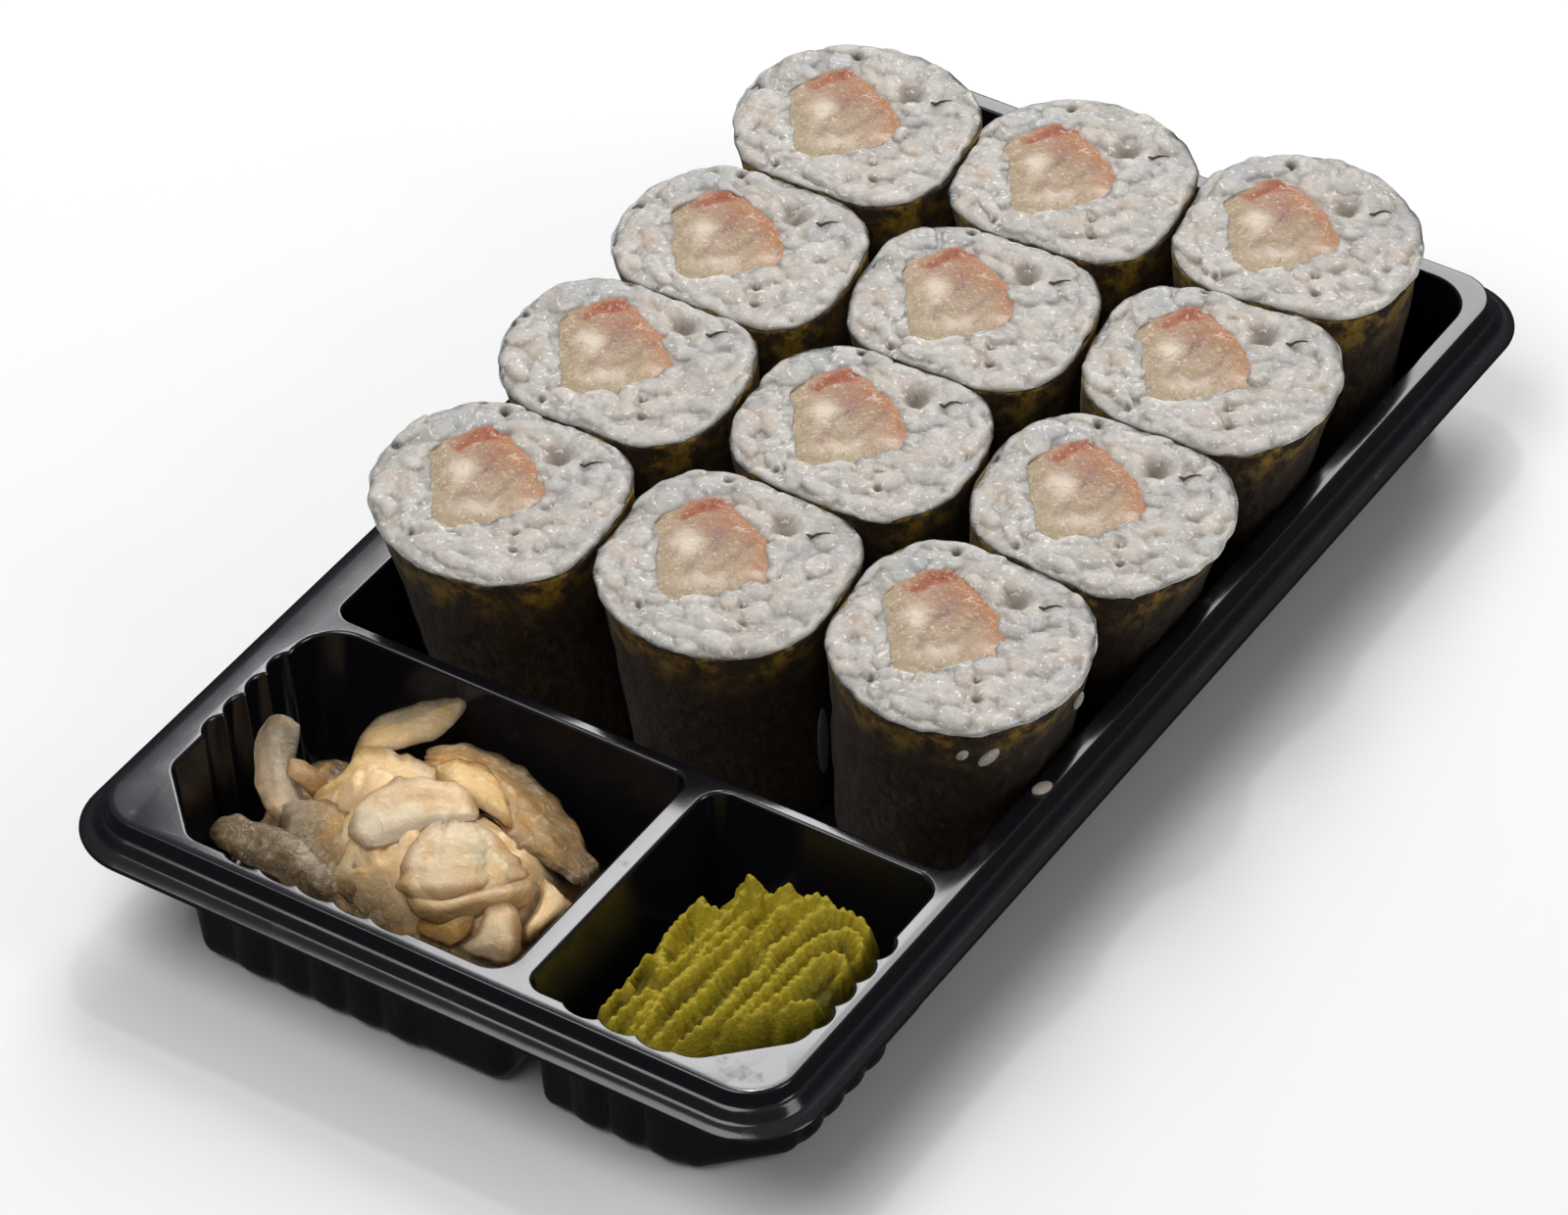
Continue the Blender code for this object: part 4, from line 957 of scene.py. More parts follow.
# The slices that show. Each is rows of three places across it, from one end to the other, as place
# and height from the flange's top, then its colour at the start, at the end and along its last edge.
GINGER_SLICES = (
    ((((-49.5, -86.0, -0.5), (-49.4, -81.4, 0), (-46.9, -78.9, -1)),
      ((-47.8, -88.9, -1.5), (-47.8, -83.9, -3), (-44.2, -81.3, -1)),
      ((-44.7, -93.1, -3), (-44.5, -88.0, -5), (-43.1, -84.9, -5)),
      ((-41.4, -94.9, -5), (-40.5, -91.6, -6), (-38.7, -89.0, -6)),
      ((-36.9, -94.6, -7), (-37.2, -92.0, -7.5), (-36.7, -89.4, -7)),
      ((-34.2, -92.9, -9), (-34.4, -91.8, -8.5), (-34.4, -90.3, -8))), GREY, CREAM, GREY),
    ((((-37.1, -78.2, -5), (-37.8, -76.4, -5), (-38.9, -74.1, -5)),
      ((-33.6, -77.3, -4), (-34.7, -74.2, -3.5), (-37.6, -70.0, -3.5)),
      ((-30.4, -74.6, -4), (-31.2, -71.2, -3), (-34.6, -66.2, -3)),
      ((-27.6, -70.6, -4), (-29.1, -66.8, -3), (-32.7, -63.1, -3)),
      ((-26.9, -66.4, -4), (-28.3, -62.7, -3.5), (-30.6, -60.2, -3.5)),
      ((-27.3, -61.3, -4), (-27.9, -60.2, -4), (-28.9, -59.3, -4))), YELLOW, GREY, GREY),
    ((((-23.2, -79.0, 0), (-23.9, -77.3, 0), (-25.4, -74.3, -1)),
      ((-17.3, -80.9, 2), (-18.7, -76.7, 1.5), (-21.5, -70.4, -1)),
      ((-9.7, -84.0, 3), (-11.7, -77.4, 1.5), (-15.7, -69.4, -2)),
      ((-4.8, -86.1, 2.5), (-5.7, -78.9, 1), (-9.7, -69.5, -3)),
      ((-1.3, -87.0, 1), (-0.8, -80.4, -0.5), (-3.3, -70.8, -4.5)),
      ((1.2, -86.4, -1), (3.4, -81.6, -2.5), (2.3, -73.4, -6)),
      ((5.8, -84.6, -4), (6.5, -81.1, -5), (6.3, -76.1, -7)),
      ((9.2, -83.1, -6), (9.0, -81.2, -6.5), (8.1, -77.3, -8))), GOLDEN, OLIVE, OLIVE),
    ((((-37.3, -88.4, -3), (-35.2, -91.0, -4.5), (-33.0, -93.6, -6.5)),
      ((-33.8, -87.0, -1), (-31.4, -91.3, -3), (-29.2, -96.2, -6)),
      ((-32.0, -83.6, 2), (-28.0, -90.2, 0), (-24.0, -96.4, -5)),
      ((-28.8, -82.3, 3.5), (-23.2, -90.6, 1.5), (-19.3, -98.8, -5)),
      ((-24.9, -81.4, 3.5), (-19.0, -90.0, 2.5), (-15.3, -98.0, -4)),
      ((-21.0, -81.3, 3), (-15.2, -89.0, 3), (-12.0, -96.1, -1)),
      ((-18.7, -79.9, 2.5), (-12.8, -86.0, 3), (-9.6, -94.4, 1))), YELLOW, CREAM, CREAM),
    ((((-24.6, -96.0, 2.5), (-23.9, -98.2, 2), (-21.9, -99.9, 1.5)),
      ((-23.7, -92.6, 4.2), (-20.8, -96.7, 4), (-17.9, -100.3, 2)),
      ((-21.1, -87.6, 5.5), (-17.1, -93.4, 5.5), (-13.7, -97.7, 3)),
      ((-17.8, -85.1, 6), (-13.6, -90.4, 6), (-11.5, -94.4, 4.5)),
      ((-13.6, -84.0, 5.5), (-9.8, -88.8, 6), (-8.1, -92.1, 5.5)),
      ((-8.7, -85.4, 4.5), (-6.7, -87.6, 5), (-5.6, -89.9, 5))), WHITE, CREAM, WHITE),
    ((((-19.4, -81.3, 3.5), (-17.0, -84.1, 4.5), (-14.6, -86.9, 5)),
      ((-16.6, -78.1, 3.5), (-12.9, -82.2, 4.5), (-9.1, -86.3, 5)),
      ((-12.8, -76.5, 2.5), (-8.0, -81.4, 3.5), (-4.5, -85.8, 3.5)),
      ((-9.9, -77.8, 1.5), (-4.8, -81.8, 2), (-1.5, -86.0, 1.8))), YELLOW, GOLDEN, YELLOW),
    ((((-11.9, -93.1, 5), (-8.8, -90.3, 5.5), (-4.6, -88.6, 4.5)),
      ((-11.9, -98.2, 4.5), (-6.4, -94.6, 5.5), (-1.5, -89.6, 3.5)),
      ((-11.6, -101.8, 3), (-4.3, -98.4, 4.5), (1.7, -90.0, 2)),
      ((-11.1, -103.8, 1), (-3.2, -100.8, 3), (4.1, -91.5, 0.5)),
      ((-7.3, -105.1, 0), (-1.8, -102.2, 1.5), (4.9, -92.3, -1))), WHITE, CREAM, CREAM),
    ((((-9.7, -103.8, 0), (-8.6, -104.7, -1), (-7.8, -104.5, -3)),
      ((-3.9, -102.8, 1.5), (-2.8, -104.4, 0.5), (-3.4, -104.5, -3)),
      ((0.3, -99.5, 1.8), (1.3, -101.0, 1), (0.4, -101.4, -3)),
      ((3.4, -95.4, 1.5), (4.4, -97.0, 0.5), (4.2, -96.9, -3)),
      ((4.9, -91.1, 0), (6.2, -92.5, -1), (6.3, -94.1, -3))), CREAM, CREAM, YELLOW),
    ((((1.4, -99.0, -0.5), (3.7, -97.5, 0), (6.5, -96.6, -1)),
      ((2.4, -102.1, -2), (5.1, -100.3, -1), (8.6, -98.9, -2)),
      ((1.8, -104.3, -4.5), (6.2, -102.7, -3), (9.8, -101.2, -3.5)),
      ((0.2, -104.9, -6.5), (6.6, -104.2, -5.5), (9.7, -102.9, -5.5))), CREAM, WHITE, CREAM),
    ((((-5.5, -103.4, -1), (-2.1, -101.9, -0.5), (1.0, -100.0, -0.5)),
      ((-6.8, -103.9, -4), (-2.0, -103.6, -3), (1.8, -102.7, -3)),
      ((-8.0, -104.5, -7), (-2.6, -105.1, -6), (0.5, -105.3, -6))), YELLOW, GOLDEN, GOLDEN),
    ((((4.6, -89.7, -2), (5.7, -88.7, -2), (7.1, -88.6, -2.5)),
      ((6.4, -91.3, -3), (7.7, -90.3, -2.5), (8.8, -89.0, -3)),
      ((6.7, -94.0, -4), (8.9, -92.9, -3.2), (10.9, -88.5, -4)),
      ((7.0, -97.5, -5), (9.1, -96.1, -4), (10.6, -90.3, -5)),
      ((7.5, -98.9, -7), (8.8, -97.2, -6), (9.6, -91.9, -6.5))), CREAM, YELLOW, CREAM),
    ((((-48.5, -99.9, -8), (-47.9, -101.1, -9), (-46.6, -101.9, -10)),
      ((-46.1, -97.3, -6), (-43.9, -100.5, -7), (-41.7, -103.1, -9)),
      ((-42.2, -96.4, -6), (-38.6, -100.7, -6.5), (-36.4, -104.1, -9)),
      ((-36.9, -95.9, -6), (-32.7, -101.9, -5.5), (-30.4, -104.6, -9)),
      ((-30.9, -96.5, -6), (-26.7, -103.1, -5), (-25.2, -104.9, -9)),
      ((-25.3, -96.6, -6), (-21.5, -102.1, -6), (-19.9, -103.2, -10)),
      ((-18.7, -96.2, -7), (-15.5, -100.7, -7.5), (-14.7, -102.2, -11)),
      ((-11.4, -98.2, -8), (-10.3, -99.1, -9), (-11.9, -99.8, -12))), OLIVE, OLIVE, OLIVE),
    ((((-41.0, -92.5, -5.5), (-38.0, -96.0, -5.5), (-36.0, -100.0, -7)),
      ((-36.5, -90.5, -3.5), (-33.0, -95.5, -3.8), (-31.0, -101.5, -6.5)),
      ((-31.0, -91.5, -1.5), (-27.5, -97.0, -2.5), (-26.0, -103.0, -6.5)),
      ((-26.0, -94.0, -0.5), (-22.5, -99.0, -2.2), (-21.0, -104.0, -6.5)),
      ((-21.0, -96.0, 0), (-18.0, -100.5, -2), (-17.0, -103.5, -6))), GREY, GOLDEN, OLIVE),
    ((((-42.1, -87.1, -1), (-41.6, -88.6, -1.5), (-41.0, -90.2, -2)),
      ((-39.8, -87.0, -0.5), (-39.1, -88.6, -1.5), (-38.3, -90.1, -2.5)),
      ((-36.5, -88.2, 0), (-36.1, -88.8, -1), (-35.8, -90.0, -2.5)),
      ((-34.2, -88.6, 0), (-33.6, -88.7, -0.5), (-34.0, -88.3, -1.5))), CREAM, YELLOW, GOLDEN))
SLICE_SPACING = 0.55
SLICE_THICKNESS = 0.6
THIN_WIDTH = 2.5
ROUNDED_ENDS = 3.0
HANG_WIDTH = 2.0
CLEAR_WIDTH = 3.0
AMBER_WIDTH = 2.2
AMBER = (0.85, 0.62, 0.32)

# The heap's foot, as directions from its middle and how far it reaches in them
GINGER_MIDDLE = np.array((-21.0, -88.0))
GINGER_REACH = (((1.0, 0.0), 29.0), ((-1.0, 0.0), 27.5), ((0.0, -1.0), 17.5), ((0.0, 1.0), 17.0),
                ((-0.707, -0.707), 21.0))
GINGER_AROUND = 120
GINGER_RINGS = 39


def spline(points, shares):
    """Places at these shares of the smooth curve through points, which lie along the first axis."""
    points = np.asarray(points, float)
    spans = len(points) - 1
    ends = np.concatenate([[2.0 * points[0] - points[1]], points, [2.0 * points[-1] - points[-2]]])
    span = np.clip(np.floor(np.asarray(shares) * spans), 0, spans - 1).astype(int)
    u = (np.asarray(shares) * spans - span).reshape((-1,) + (1,) * (points.ndim - 1))
    a, b, c, d = (ends[span + k] for k in range(4))
    return 0.5 * (2.0 * b + (c - a) * u + (2.0 * a - 5.0 * b + 4.0 * c - d) * u ** 2
                  + (3.0 * b - a - 3.0 * c + d) * u ** 3)


def slice_net(rows, seed):
    """A soft ragged sheet through a slice's rows.

    Returns its grid of points and, for each, the normal, the shares along and across the slice and
    the distance to its edge.
    """
    length = np.linalg.norm(np.diff(rows[:, 1], axis=0), axis=1).sum()
    width = np.linalg.norm(np.diff(rows, axis=1), axis=2).sum(axis=1).max()
    t = np.linspace(0.0, 1.0, max(8, int(length / SLICE_SPACING)) + 1)
    s = np.linspace(0.0, 1.0, max(8, int(width / SLICE_SPACING)) + 1)
    grid = np.moveaxis(spline(np.moveaxis(spline(rows, t), 1, 0), s), 0, 1)
    tt, ss = np.meshgrid(t, s, indexing="ij")
    along = tt.ravel() * length
    to_end = np.minimum(tt, 1.0 - tt) * length
    edge = np.minimum(to_end, np.minimum(ss, 1.0 - ss) * width)
    middle = grid.mean(axis=1, keepdims=True)
    beside = np.stack([along, ss.ravel() * 3, along * 0], axis=1)
    ragged = 1.0 + 0.08 * waves(beside, 2.2, seed) + 0.10 * waves(beside, 5.0, seed)
    rounding = 0.72 + 0.28 * np.sqrt(np.clip(to_end / ROUNDED_ENDS, 0.0, 1.0))
    grid = middle + (grid - middle) * (ragged.reshape(tt.shape) * rounding)[..., None]
    normal = np.cross(np.gradient(grid, axis=0), np.gradient(grid, axis=1))
    normal /= np.linalg.norm(normal, axis=2, keepdims=True) + 1e-9
    if normal[..., 2].mean() < 0.0:
        normal = -normal
    fibres = np.stack([along * 0.22, ss.ravel() * width, np.full(tt.size, seed)], axis=1)
    ripple = 0.35 * waves(fibres, 4.0, seed) + 0.12 * waves(fibres, 1.5, seed)
    ripple += 0.2 * waves(grid.reshape(-1, 3), 3.0, seed)
    return grid + normal * ripple.reshape(tt.shape)[..., None], normal, tt, ss, edge


def hang_edge(grid, edge):
    """Lets a sheet's edge sink towards the heap under it, the less the higher it is."""
    rest = ginger_height(grid[..., 0], grid[..., 1]) + 1.0
    near_edge = np.clip(1.0 - edge / HANG_WIDTH, 0.0, 1.0) ** 1.5
    near_heap = np.clip(1.0 - (grid[..., 2] - rest - 2.0) / 3.0, 0.0, 0.6)
    grid[..., 2] += np.minimum(rest - grid[..., 2], 0.0) * near_edge * near_heap


def slice_tint(tt, ss, edge, start_tint, end_tint, edge_tint):
    """Colours from the slice's start to its end and its last edge, amber where it is thinnest."""
    share = (tt.ravel() ** 1.2)[:, None]
    tint = np.array(start_tint) * (1.0 - share) + np.array(end_tint) * share
    rim = (ss.ravel() ** 2)[:, None]
    tint = tint * (1.0 - rim) + np.array(edge_tint) * rim
    amber = 0.45 * np.clip(1.0 - edge.ravel() / AMBER_WIDTH, 0.0, 1.0)[:, None]
    return tint * (1.0 - amber) + tint * np.array(AMBER) * amber


def add_slice(surface, tints, thinness, rows, start_tint, end_tint, edge_tint, seed):
    """One slice: a soft sheet through its rows, with a ragged thin edge."""
    grid, normal, tt, ss, edge = slice_net(np.array(rows, float), seed)
    hang_edge(grid, edge)
    thick = (SLICE_THICKNESS / 2.0 * np.clip(edge / THIN_WIDTH, 0.25, 1.0))[..., None]
    tint = slice_tint(tt, ss, edge, start_tint, end_tint, edge_tint)
    clear = 0.12 + 0.6 * (1.0 - np.clip(edge.ravel() / CLEAR_WIDTH, 0.0, 1.0))
    steps, columns = tt.shape[0] - 1, tt.shape[1] - 1
    starts = []
    for side in (1.0, -1.0):
        points = (grid + normal * thick * side).reshape(-1, 3) + (0.0, 0.0, TRAY_HEIGHT)
        starts.append(surface.sheet(points, columns + 1))
        tints.append(tint)
        thinness.append(clear)
    upper, lower = starts
    border = grid_border(steps, columns)
    for a, b in zip(border, border[1:] + border[:1]):
        surface.faces.append((upper + b, upper + a, lower + a, lower + b))


def ginger_height(x, y):
    """The heap's bare top, from the flange's top: highest right of the middle, low at the sides."""
    reach = np.hypot((x + 10.0) / 20.0, (y + 93.0) / 13.0)
    high = 15.2 * np.exp(-reach ** 3)
    left = 8.5 * np.exp(-((x + 28.0) / 7.5) ** 2 - ((y + 87.0) / 6.0) ** 2)
    return -10.5 + high + left


def add_ginger_core(surface, tints):
    """The soft mass under the slices, well inside the pocket's walls."""
    turns = directions(GINGER_AROUND)
    outwards = np.stack([np.cos(turns), np.sin(turns)], axis=1)
    reach = sum((side / np.maximum(outwards @ direction, 1e-3)) ** -10.0
                for direction, side in GINGER_REACH) ** -0.1
    rows = []
    for share in np.linspace(0.0, 1.0, GINGER_RINGS + 1)[1:]:
        place = GINGER_MIDDLE + (reach * share)[:, None] * outwards
        flat = level_with(place)
        height = ginger_height(*place.T) - 5.0 * max(0.0, share - 0.8) / 0.2
        height += 0.6 * np.abs(waves(flat, 6.0, 2)) + 0.2 * waves(flat, 2.5, 4)
        height -= 1.6 * np.clip(1.0 - np.abs(waves(flat, 4.5, 8)) / 0.25, 0.0, 1.0)
        rows.append(np.hstack([place, TRAY_HEIGHT + height[:, None]]))
    foot = rows[-1].copy()
    foot[:, 2] = FOOT_HEIGHT
    rows.append(foot)
    starts = surface.loft(rows, closed_rows=True)
    top = TRAY_HEIGHT + float(ginger_height(*GINGER_MIDDLE))
    surface.fan(starts[0], GINGER_AROUND, (*GINGER_MIDDLE, top))
    surface.fan(starts[-1], GINGER_AROUND, (*GINGER_MIDDLE, FOOT_HEIGHT))
    heights = np.concatenate(rows)[:, 2] - TRAY_HEIGHT
    paler = np.clip((heights + 7.0) / 6.0, 0.0, 1.0)[:, None]
    tints.append(np.array(OLIVE) * (1.0 - paler) + np.array(CREAM) * paler)
    tints.append(np.array((CREAM, OLIVE)))


def make_ginger(look):
    """The heap with the slices that show on it."""
    surface = Surface()
    tints = []
    add_ginger_core(surface, tints)
    thinness = [np.zeros(sum(len(part) for part in tints))]
    for seed, piece in enumerate(GINGER_SLICES):
        add_slice(surface, tints, thinness, *piece, seed + 1)
    ginger = add_piece("ginger_heap", surface.all_verts(), surface.faces, look, ["ginger"])
    add_colours(ginger, "tint", np.concatenate(tints))
    add_attribute(ginger, "thin", np.concatenate(thinness))


# Wasabi

WASABI_LEFT = 22.5
WASABI_RIGHT = 55.2
WASABI_FRONT = -107.2
WASABI_BACK = -69.0
WASABI_CUT_CORNER = 146.5
WASABI_FOOT = ((22.65, -105.25), (51.75, -65.25))
WASABI_COLUMNS = 170
WASABI_STEPS = 200

# The crests that show, each as places and heights from the flange's top
WASABI_CRESTS = (
    ((29.0, -91.9, -6.1), (30.1, -89.0, -5.6), (30.2, -82.1, -5.6), (30.9, -77.1, -5.2),
     (31.4, -74.1, -3.3), (31.9, -73.1, -0.7)),
    ((32.7, -95.5, -4.8), (33.1, -91.3, -4.4), (32.3, -84.7, -4.7), (33.4, -79.8, -4.5),
     (33.7, -75.3, -4.8), (35.4, -71.9, -3.5), (38.2, -71.7, 0.1)),
    ((32.6, -103.6, -6.8), (32.8, -101.0, -5.3), (32.2, -97.1, -5.1), (33.3, -92.9, -4.4),
     (34.4, -87.3, -3.9), (35.2, -83.8, -3.6), (35.2, -80.2, -3.8)),
    ((36.0, -104.7, -6.2), (37.4, -100.4, -3.4), (38.2, -96.8, -2.8), (38.3, -92.2, -2.5),
     (38.5, -86.6, -2.0), (39.2, -84.0, -1.3)),
    ((39.1, -82.0, -2.2), (39.0, -78.8, -2.1), (38.4, -76.1, -2.2), (40.4, -73.8, -1.3),
     (42.6, -71.8, 0.0), (44.1, -71.0, -0.6)),
    ((40.0, -105.6, -5.2), (42.0, -102.7, -2.7), (43.4, -97.9, -1.5), (43.3, -92.9, -1.1),
     (44.1, -88.1, -1.0), (42.9, -83.8, -1.1), (43.9, -79.9, -1.3), (43.6, -75.8, -1.3),
     (45.0, -71.8, -1.5), (48.9, -70.6, -1.8), (52.0, -71.5, -2.1)),
    ((43.2, -105.2, -4.3), (45.1, -102.2, -2.4), (45.9, -99.4, -1.6), (46.4, -93.6, -1.2),
     (46.7, -89.8, -1.0), (46.6, -86.0, -1.0), (46.9, -80.5, -1.2), (48.0, -76.7, -1.5),
     (50.3, -73.7, -1.8), (53.0, -75.2, -1.6), (54.2, -77.2, -2.5)),
    ((45.2, -104.2, -3.6), (47.1, -102.4, -2.6), (47.5, -99.5, -1.6), (48.5, -95.0, -1.3),
     (49.3, -90.9, -1.1), (49.7, -86.8, -1.0), (50.1, -83.2, -0.6), (51.8, -80.3, -0.7),
     (54.0, -80.9, -1.2), (54.2, -83.0, -2.2)),
    ((50.3, -102.7, -2.7), (52.0, -99.9, -1.7), (53.2, -96.5, -1.4)),
    ((51.6, -96.7, -1.4), (51.8, -93.1, -0.7), (53.4, -91.8, -0.6), (54.2, -89.9, -1.0)),
    ((29.5, -91.1, -6.8), (26.1, -88.4, -7.6), (24.2, -83.6, -7.9), (23.8, -79.4, -7.8),
     (24.4, -76.1, -6.3), (27.1, -77.2, -5.7), (30.2, -77.2, -5.4)),
    ((27.7, -91.4, -7.6), (26.1, -89.2, -7.6), (24.0, -89.2, -8.1), (23.3, -91.3, -9.1),
     (24.1, -94.5, -9.1)),
    ((23.8, -100.6, -9.2), (23.9, -96.9, -8.9), (25.2, -95.9, -8.3)),
    ((26.8, -102.5, -8.9), (28.0, -100.1, -7.1), (29.6, -96.7, -6.1), (32.1, -98.1, -5.3)),
    ((30.9, -103.7, -7.6), (31.2, -101.5, -6.1), (31.2, -99.7, -5.8)))
CREST_DROP = 3.4
CREST_LEFT_WIDTH = 1.0
CREST_RIGHT_WIDTH = 1.5
CREST_MERGE = 0.25
SERRATION = 1.8
PASTE_HOLLOW = (27.0, -82.0)


def paste_level(x, y):
    """The level of the paste between its crests, from the flange's top."""
    v = np.clip((y - WASABI_FRONT) / (WASABI_BACK - WASABI_FRONT), 0.0, 1.0)
    u = np.clip((x - WASABI_LEFT) / (WASABI_RIGHT - WASABI_LEFT), 0.0, 1.0)
    front = 3.0 * np.maximum(0.0, 0.15 - v) / 0.15
    hollow = 3.0 * np.exp(-((x - PASTE_HOLLOW[0]) ** 2 + (y - PASTE_HOLLOW[1]) ** 2) / 9.0)
    return -13.6 + 7.5 * np.minimum(1.0, u * 1.5) + 1.5 * np.sin(np.pi * v) - front - hollow


def crest_relief(points, crest, seed):
    """A ridge along one crest: steep on its left, gentle on its right, with a crumbly serrated top."""
    fine = spline(crest, np.linspace(0.0, 1.0, 9 * len(crest)))
    run = np.concatenate([[0.0], np.cumsum(np.linalg.norm(np.diff(fine[:, :2], axis=0), axis=1))])
    best = np.full(len(points), np.inf)
    height, place, side = np.zeros(len(points)), np.zeros(len(points)), np.zeros(len(points))
    for a, b, start, end in zip(fine, fine[1:], run, run[1:]):
        step = b[:2] - a[:2]
        offset = points - a[:2]
        share = np.clip(offset @ step / (step @ step + 1e-9), 0.0, 1.0)
        gap = np.linalg.norm(offset - share[:, None] * step, axis=1)
        nearer = gap < best
        best = np.where(nearer, gap, best)
        height = np.where(nearer, a[2] + share * (b[2] - a[2]), height)
        place = np.where(nearer, start + share * (end - start), place)
        side = np.where(nearer, step[0] * offset[:, 1] - step[1] * offset[:, 0], side)
    width = np.where(side > 0.0, CREST_LEFT_WIDTH, CREST_RIGHT_WIDTH)
    tooth = np.cos(2.0 * np.pi * place / SERRATION + 1.5 * np.sin(place * 0.7 + seed))
    gap = np.maximum(best - 0.2 - 0.2 * tooth, 0.0)
    drop = CREST_DROP * (1.0 - np.exp(-(gap / width) ** 1.6)) + 1.4 * np.maximum(gap - 2.0, 0.0)
    return height - drop + 0.15 * tooth * np.exp(-gap)


def wasabi_edges(v):
    """The left and right edge of the paste at a share v of its length, front to back."""
    y = WASABI_FRONT + (WASABI_BACK - WASABI_FRONT) * v
    left = WASABI_LEFT + 6.0 * max(0.0, (v - 0.72) / 0.28) ** 1.5 + 4.0 * max(0.0, 0.16 - v) / 0.16
    right = min(WASABI_RIGHT - 2.5 * max(0.0, v - 0.85) / 0.15, y + WASABI_CUT_CORNER)
    return y, left, right


def wasabi_relief(x, y):
    """The paste's height and how much of each place belongs to a crest, which sets its painted light and
    shade.
    """
    points = np.stack([x, y], axis=1)
    flat = level_with(points)
    level = paste_level(x, y)
    layers = [level]
    for seed, crest in enumerate(WASABI_CRESTS):
        layers.append(crest_relief(points, crest, seed))
    layers = np.array(layers)
    top = layers.max(axis=0)
    height = top + CREST_MERGE * np.log(np.exp((layers - top) / CREST_MERGE).sum(axis=0))
    # How far a place stands out as a crest, for the painted light on crests and painted shade between them
    crest_share = np.clip((height - level - 0.6) / 2.6, 0.0, 1.0)
    height += 0.22 * waves(flat, 1.1, 3) + 0.14 * waves(flat, 0.55, 5)
    return height, crest_share


def make_wasabi(look):
    """The paste: a relief of crests over the pocket's width, closed down to the pocket's floor."""
    size = WASABI_COLUMNS + 1
    u = np.tile(np.linspace(0.0, 1.0, size), WASABI_STEPS + 1)
    edges = np.array([wasabi_edges(share) for share in np.linspace(0.0, 1.0, WASABI_STEPS + 1)])
    y, left, right = np.repeat(edges, size, axis=0).T
    x = left + (right - left) * u
    height, crest_share = wasabi_relief(x, y)
    gap = np.minimum(np.minimum(x - left, right - x), np.minimum(y - WASABI_FRONT, WASABI_BACK - y))
    height -= 3.0 * np.clip(1.0 - gap / 1.6, 0.0, 1.0) ** 2
    surface = Surface()
    grid = np.stack([x, y, TRAY_HEIGHT + height], axis=1)
    surface.sheet(grid, size)
    border = grid_border(WASABI_STEPS, WASABI_COLUMNS)
    foot = grid[border]
    foot[:, :2] = np.clip(foot[:, :2], *WASABI_FOOT)
    foot[:, 2] = FOOT_HEIGHT
    low = surface.points(foot)
    for k in range(len(border)):
        m = (k + 1) % len(border)
        surface.faces.append((border[k], border[m], low + m, low + k))
    surface.fan(low, len(border), foot.mean(axis=0))
    piece = add_piece("wasabi_heap", surface.all_verts(), surface.faces, look, ["wasabi"])
    # The crest attribute carries the painted crest light and the painted shade between crests
    add_attribute(piece, "crest", np.concatenate([crest_share, np.zeros(len(border) + 1)]))


# Loose bits

# Grains stuck to the front right roll and the smear on the front middle roll: direction in degrees,
# height, half sizes, turn in degrees
STUCK_GRAINS = ((-57.0, 37.3, (1.3, 0.8, 0.5), 60.0), (-46.5, 36.3, (2.3, 1.1, 0.7), 55.0),
                (5.0, 36.8, (1.7, 1.1, 0.6), 80.0))
FLANGE_GRAIN = np.array((59.6, -33.5, TRAY_HEIGHT + 0.35))
FLANGE_GRAIN_HALF = (1.9, 1.2, 0.6)
FLECK_PATH = ((12.2, 5.6), (13.0, 5.2), (13.8, 5.9), (14.8, 6.2), (15.8, 6.0))
FLECK_RADII = (0.15, 0.34, 0.30, 0.16, 0.08)
FLECK_AROUND = 8
SMEAR = (-14.0, 16.0, (7.5, 1.2, 0.35), 90.0)
BLOB_RINGS = 9
BLOB_AROUND = 16


def add_blob(surface, middle, along, out, half):
    """A soft lump with its length, width and thickness along three directions."""
    along = np.asarray(along, float) / np.linalg.norm(along)
    out = np.asarray(out, float) / np.linalg.norm(out)
    across = np.cross(out, along)
    turns = directions(BLOB_AROUND)[:, None]
    rings = []
    for angle in np.linspace(-math.pi / 2, math.pi / 2, BLOB_RINGS + 2)[1:-1]:
        reach = math.cos(angle)
        ring = half[1] * reach * np.cos(turns) * across + half[2] * reach * np.sin(turns) * out
        rings.append(middle + half[0] * math.sin(angle) * along + ring)
    starts = surface.loft(rings, closed_rows=True)
    surface.fan(starts[0], BLOB_AROUND, middle - half[0] * along)
    surface.fan(starts[-1], BLOB_AROUND, middle + half[0] * along)


def add_bit(roll, surface, direction, height, half, turn):
    """A lump that sticks to a roll's side, turned from level."""
    angle = np.array([math.radians(direction)])
    out = np.array((math.cos(angle[0]), math.sin(angle[0]), 0.0))
    level = np.array((-out[1], out[0], 0.0))
    up = roll.place(angle, height + 1.0)[0] - roll.place(angle, height)[0]
    along = math.cos(math.radians(turn)) * level + math.sin(math.radians(turn)) * up
    add_blob(surface, roll.place(angle, height, -0.4 * half[2])[0], along, np.cross(level, up), half)


def make_loose_grains(roll, look):
    """Grains stuck to one roll and a grain on the flange."""
    surface = Surface()
    for grain in STUCK_GRAINS:
        add_bit(roll, surface, *grain)
    add_blob(surface, FLANGE_GRAIN, (0.3, 1.0, 0.0), (0.0, 0.0, 1.0), FLANGE_GRAIN_HALF)
    add_piece("loose_grains", surface.all_verts(), surface.faces, look)


def make_smear(roll, look):
    """Thin dried starch that ran down the side of the front middle roll."""
    surface = Surface()
    add_bit(roll, surface, *SMEAR)
    add_piece("starch_smear", surface.all_verts(), surface.faces, look)


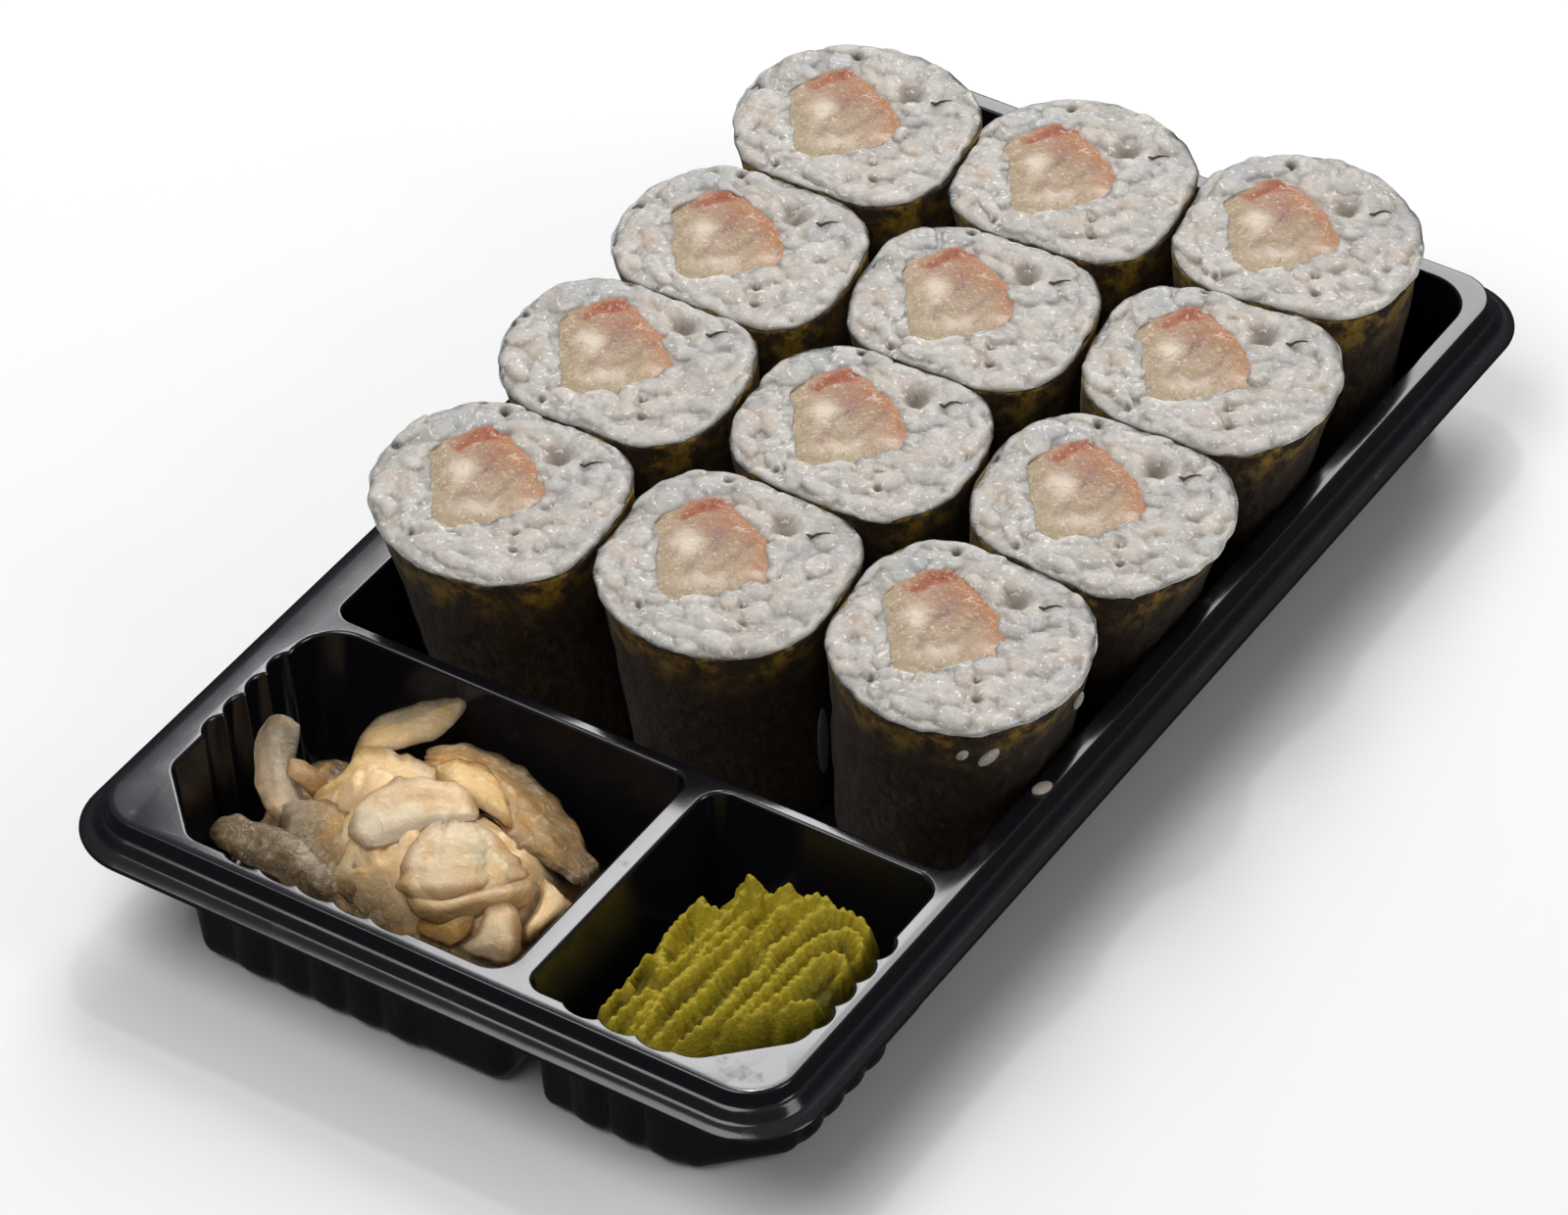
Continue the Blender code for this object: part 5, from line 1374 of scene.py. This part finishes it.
def make_flecks(rolls, look):
    """A small dark curl on every cut face."""
    surface = Surface()
    turns = directions(FLECK_AROUND)
    circle = np.stack([np.zeros(FLECK_AROUND), np.cos(turns), np.sin(turns)], axis=1)
    for roll in rolls:
        places = np.array([roll.middle + turned(place) for place in FLECK_PATH])
        relief = rice_relief(roll, places)[0]
        rings = [radius * circle + (*place, ROLL_TOP + 0.5 + max(height, -0.4))
                 for place, height, radius in zip(places, relief, FLECK_RADII)]
        starts = surface.loft(rings, closed_rows=True)
        for end in (0, -1):
            surface.fan(starts[end], FLECK_AROUND, rings[end].mean(axis=0))
    add_piece("dark_flecks", surface.all_verts(), surface.faces, look)


# Setting

FLOOR_HALF_SIZE = 3.0

# Each softbox's name, direction from the tray, distance and size in metres, power and tint
SOFTBOXES = (
    ("back_softbox", (-0.365, 0.93, 0.86), 1.32, (0.62, 0.9), 9.6, (1.0, 1.0, 1.0)),
    ("divider_softbox", (-0.46, 0.61, 0.84), 1.2, (0.26, 0.26), 0.9, (0.94, 0.94, 1.0)),
    ("glint_light", (-0.25, 0.40, 1.0), 1.3, (0.08, 0.08), 1.6, (1.0, 1.0, 1.0)),
    ("top_softbox", (-0.15, -0.48, 0.95), 1.4, (0.9, 0.9), 9.5, (1.0, 1.0, 1.0)),
    ("right_softbox", (1.0, 0.15, 0.55), 1.5, (0.5, 0.8), 4.0, (1.0, 1.0, 1.0)))
ROOM_LIGHT = {"From Min": 0.1, "From Max": 0.9, "To Min": 0.05, "To Max": 0.30}
ROOM_TINT = (0.96, 0.97, 1.0, 1.0)

CAMERA_PLACE = (467.35, -754.54, 768.05)
CAMERA_AZIMUTH = math.radians(32.2)
CAMERA_ELEVATION = math.radians(40.44)
CAMERA_LENS = 167.9


def make_floor():
    """A large pale floor under the tray."""
    look = Look("pale_floor", Base_Color=(0.86, 0.86, 0.86, 1.0), Roughness=0.9)
    mesh = bpy.data.meshes.new("floor")
    size = FLOOR_HALF_SIZE
    corners = [(-size, -size, 0), (size, -size, 0), (size, size, 0), (-size, size, 0)]
    mesh.from_pydata(corners, [], [(0, 1, 2, 3)])
    mesh.materials.append(look.material)
    floor = bpy.data.objects.new("floor", mesh)
    bpy.context.scene.collection.objects.link(floor)
    floor.visible_glossy = False


def add_softbox(name, direction, distance, size, power, tint):
    """A rectangular light that faces the tray from a direction."""
    light = bpy.data.lights.new(name, "AREA")
    light.shape = "RECTANGLE"
    light.size, light.size_y = size
    light.energy = power
    light.color = tint
    lamp = bpy.data.objects.new(name, light)
    towards = Vector(direction).normalized()
    lamp.location = towards * distance
    lamp.rotation_euler = towards.to_track_quat("Z", "Y").to_euler()
    bpy.context.scene.collection.objects.link(lamp)


def make_world():
    """Soft light from all round, the stronger the higher it comes from."""
    world = bpy.data.worlds.new("studio")
    bpy.context.scene.world = world
    world.use_nodes = True
    tree = world.node_tree
    place = tree.nodes.new("ShaderNodeTexCoord")
    split = tree.nodes.new("ShaderNodeSeparateXYZ")
    sky = tree.nodes.new("ShaderNodeMapRange")
    for name, value in ROOM_LIGHT.items():
        sky.inputs[name].default_value = value
    tree.links.new(place.outputs["Generated"], split.inputs[0])
    tree.links.new(split.outputs["Z"], sky.inputs["Value"])
    tree.links.new(sky.outputs["Result"], tree.nodes["Background"].inputs["Strength"])
    tree.nodes["Background"].inputs["Color"].default_value = ROOM_TINT
    bpy.context.scene.view_settings.view_transform = "Standard"


def make_camera():
    """The photograph's viewing angle: a long lens from the front right, looking down at 40 degrees."""
    camera = bpy.data.cameras.new("camera")
    camera.sensor_width = 36.0
    camera.lens = CAMERA_LENS
    item = bpy.data.objects.new("camera", camera)
    item.location = Vector(CAMERA_PLACE) * MM
    item.rotation_euler = (math.pi / 2 - CAMERA_ELEVATION, 0.0, CAMERA_AZIMUTH)
    bpy.context.scene.collection.objects.link(item)
    bpy.context.scene.camera = item


def main():
    plastic, rice, fish = plastic_look(), rice_look(), fish_look()
    seaweed, ginger, wasabi = seaweed_look(), ginger_look(), wasabi_look()
    make_tray(plastic)
    rolls = [Roll(name, number) for number, name in enumerate(ROLL_NAMES)]
    for roll in rolls:
        make_wrap(roll, seaweed)
        make_rice(roll, rice)
        make_fish(roll, fish)
    make_ginger(ginger)
    make_wasabi(wasabi)
    make_loose_grains(rolls[2], rice)
    make_smear(rolls[1], smear_look())
    make_flecks(rolls, fleck_look())
    make_floor()
    for softbox in SOFTBOXES:
        add_softbox(*softbox)
    make_world()
    make_camera()


main()
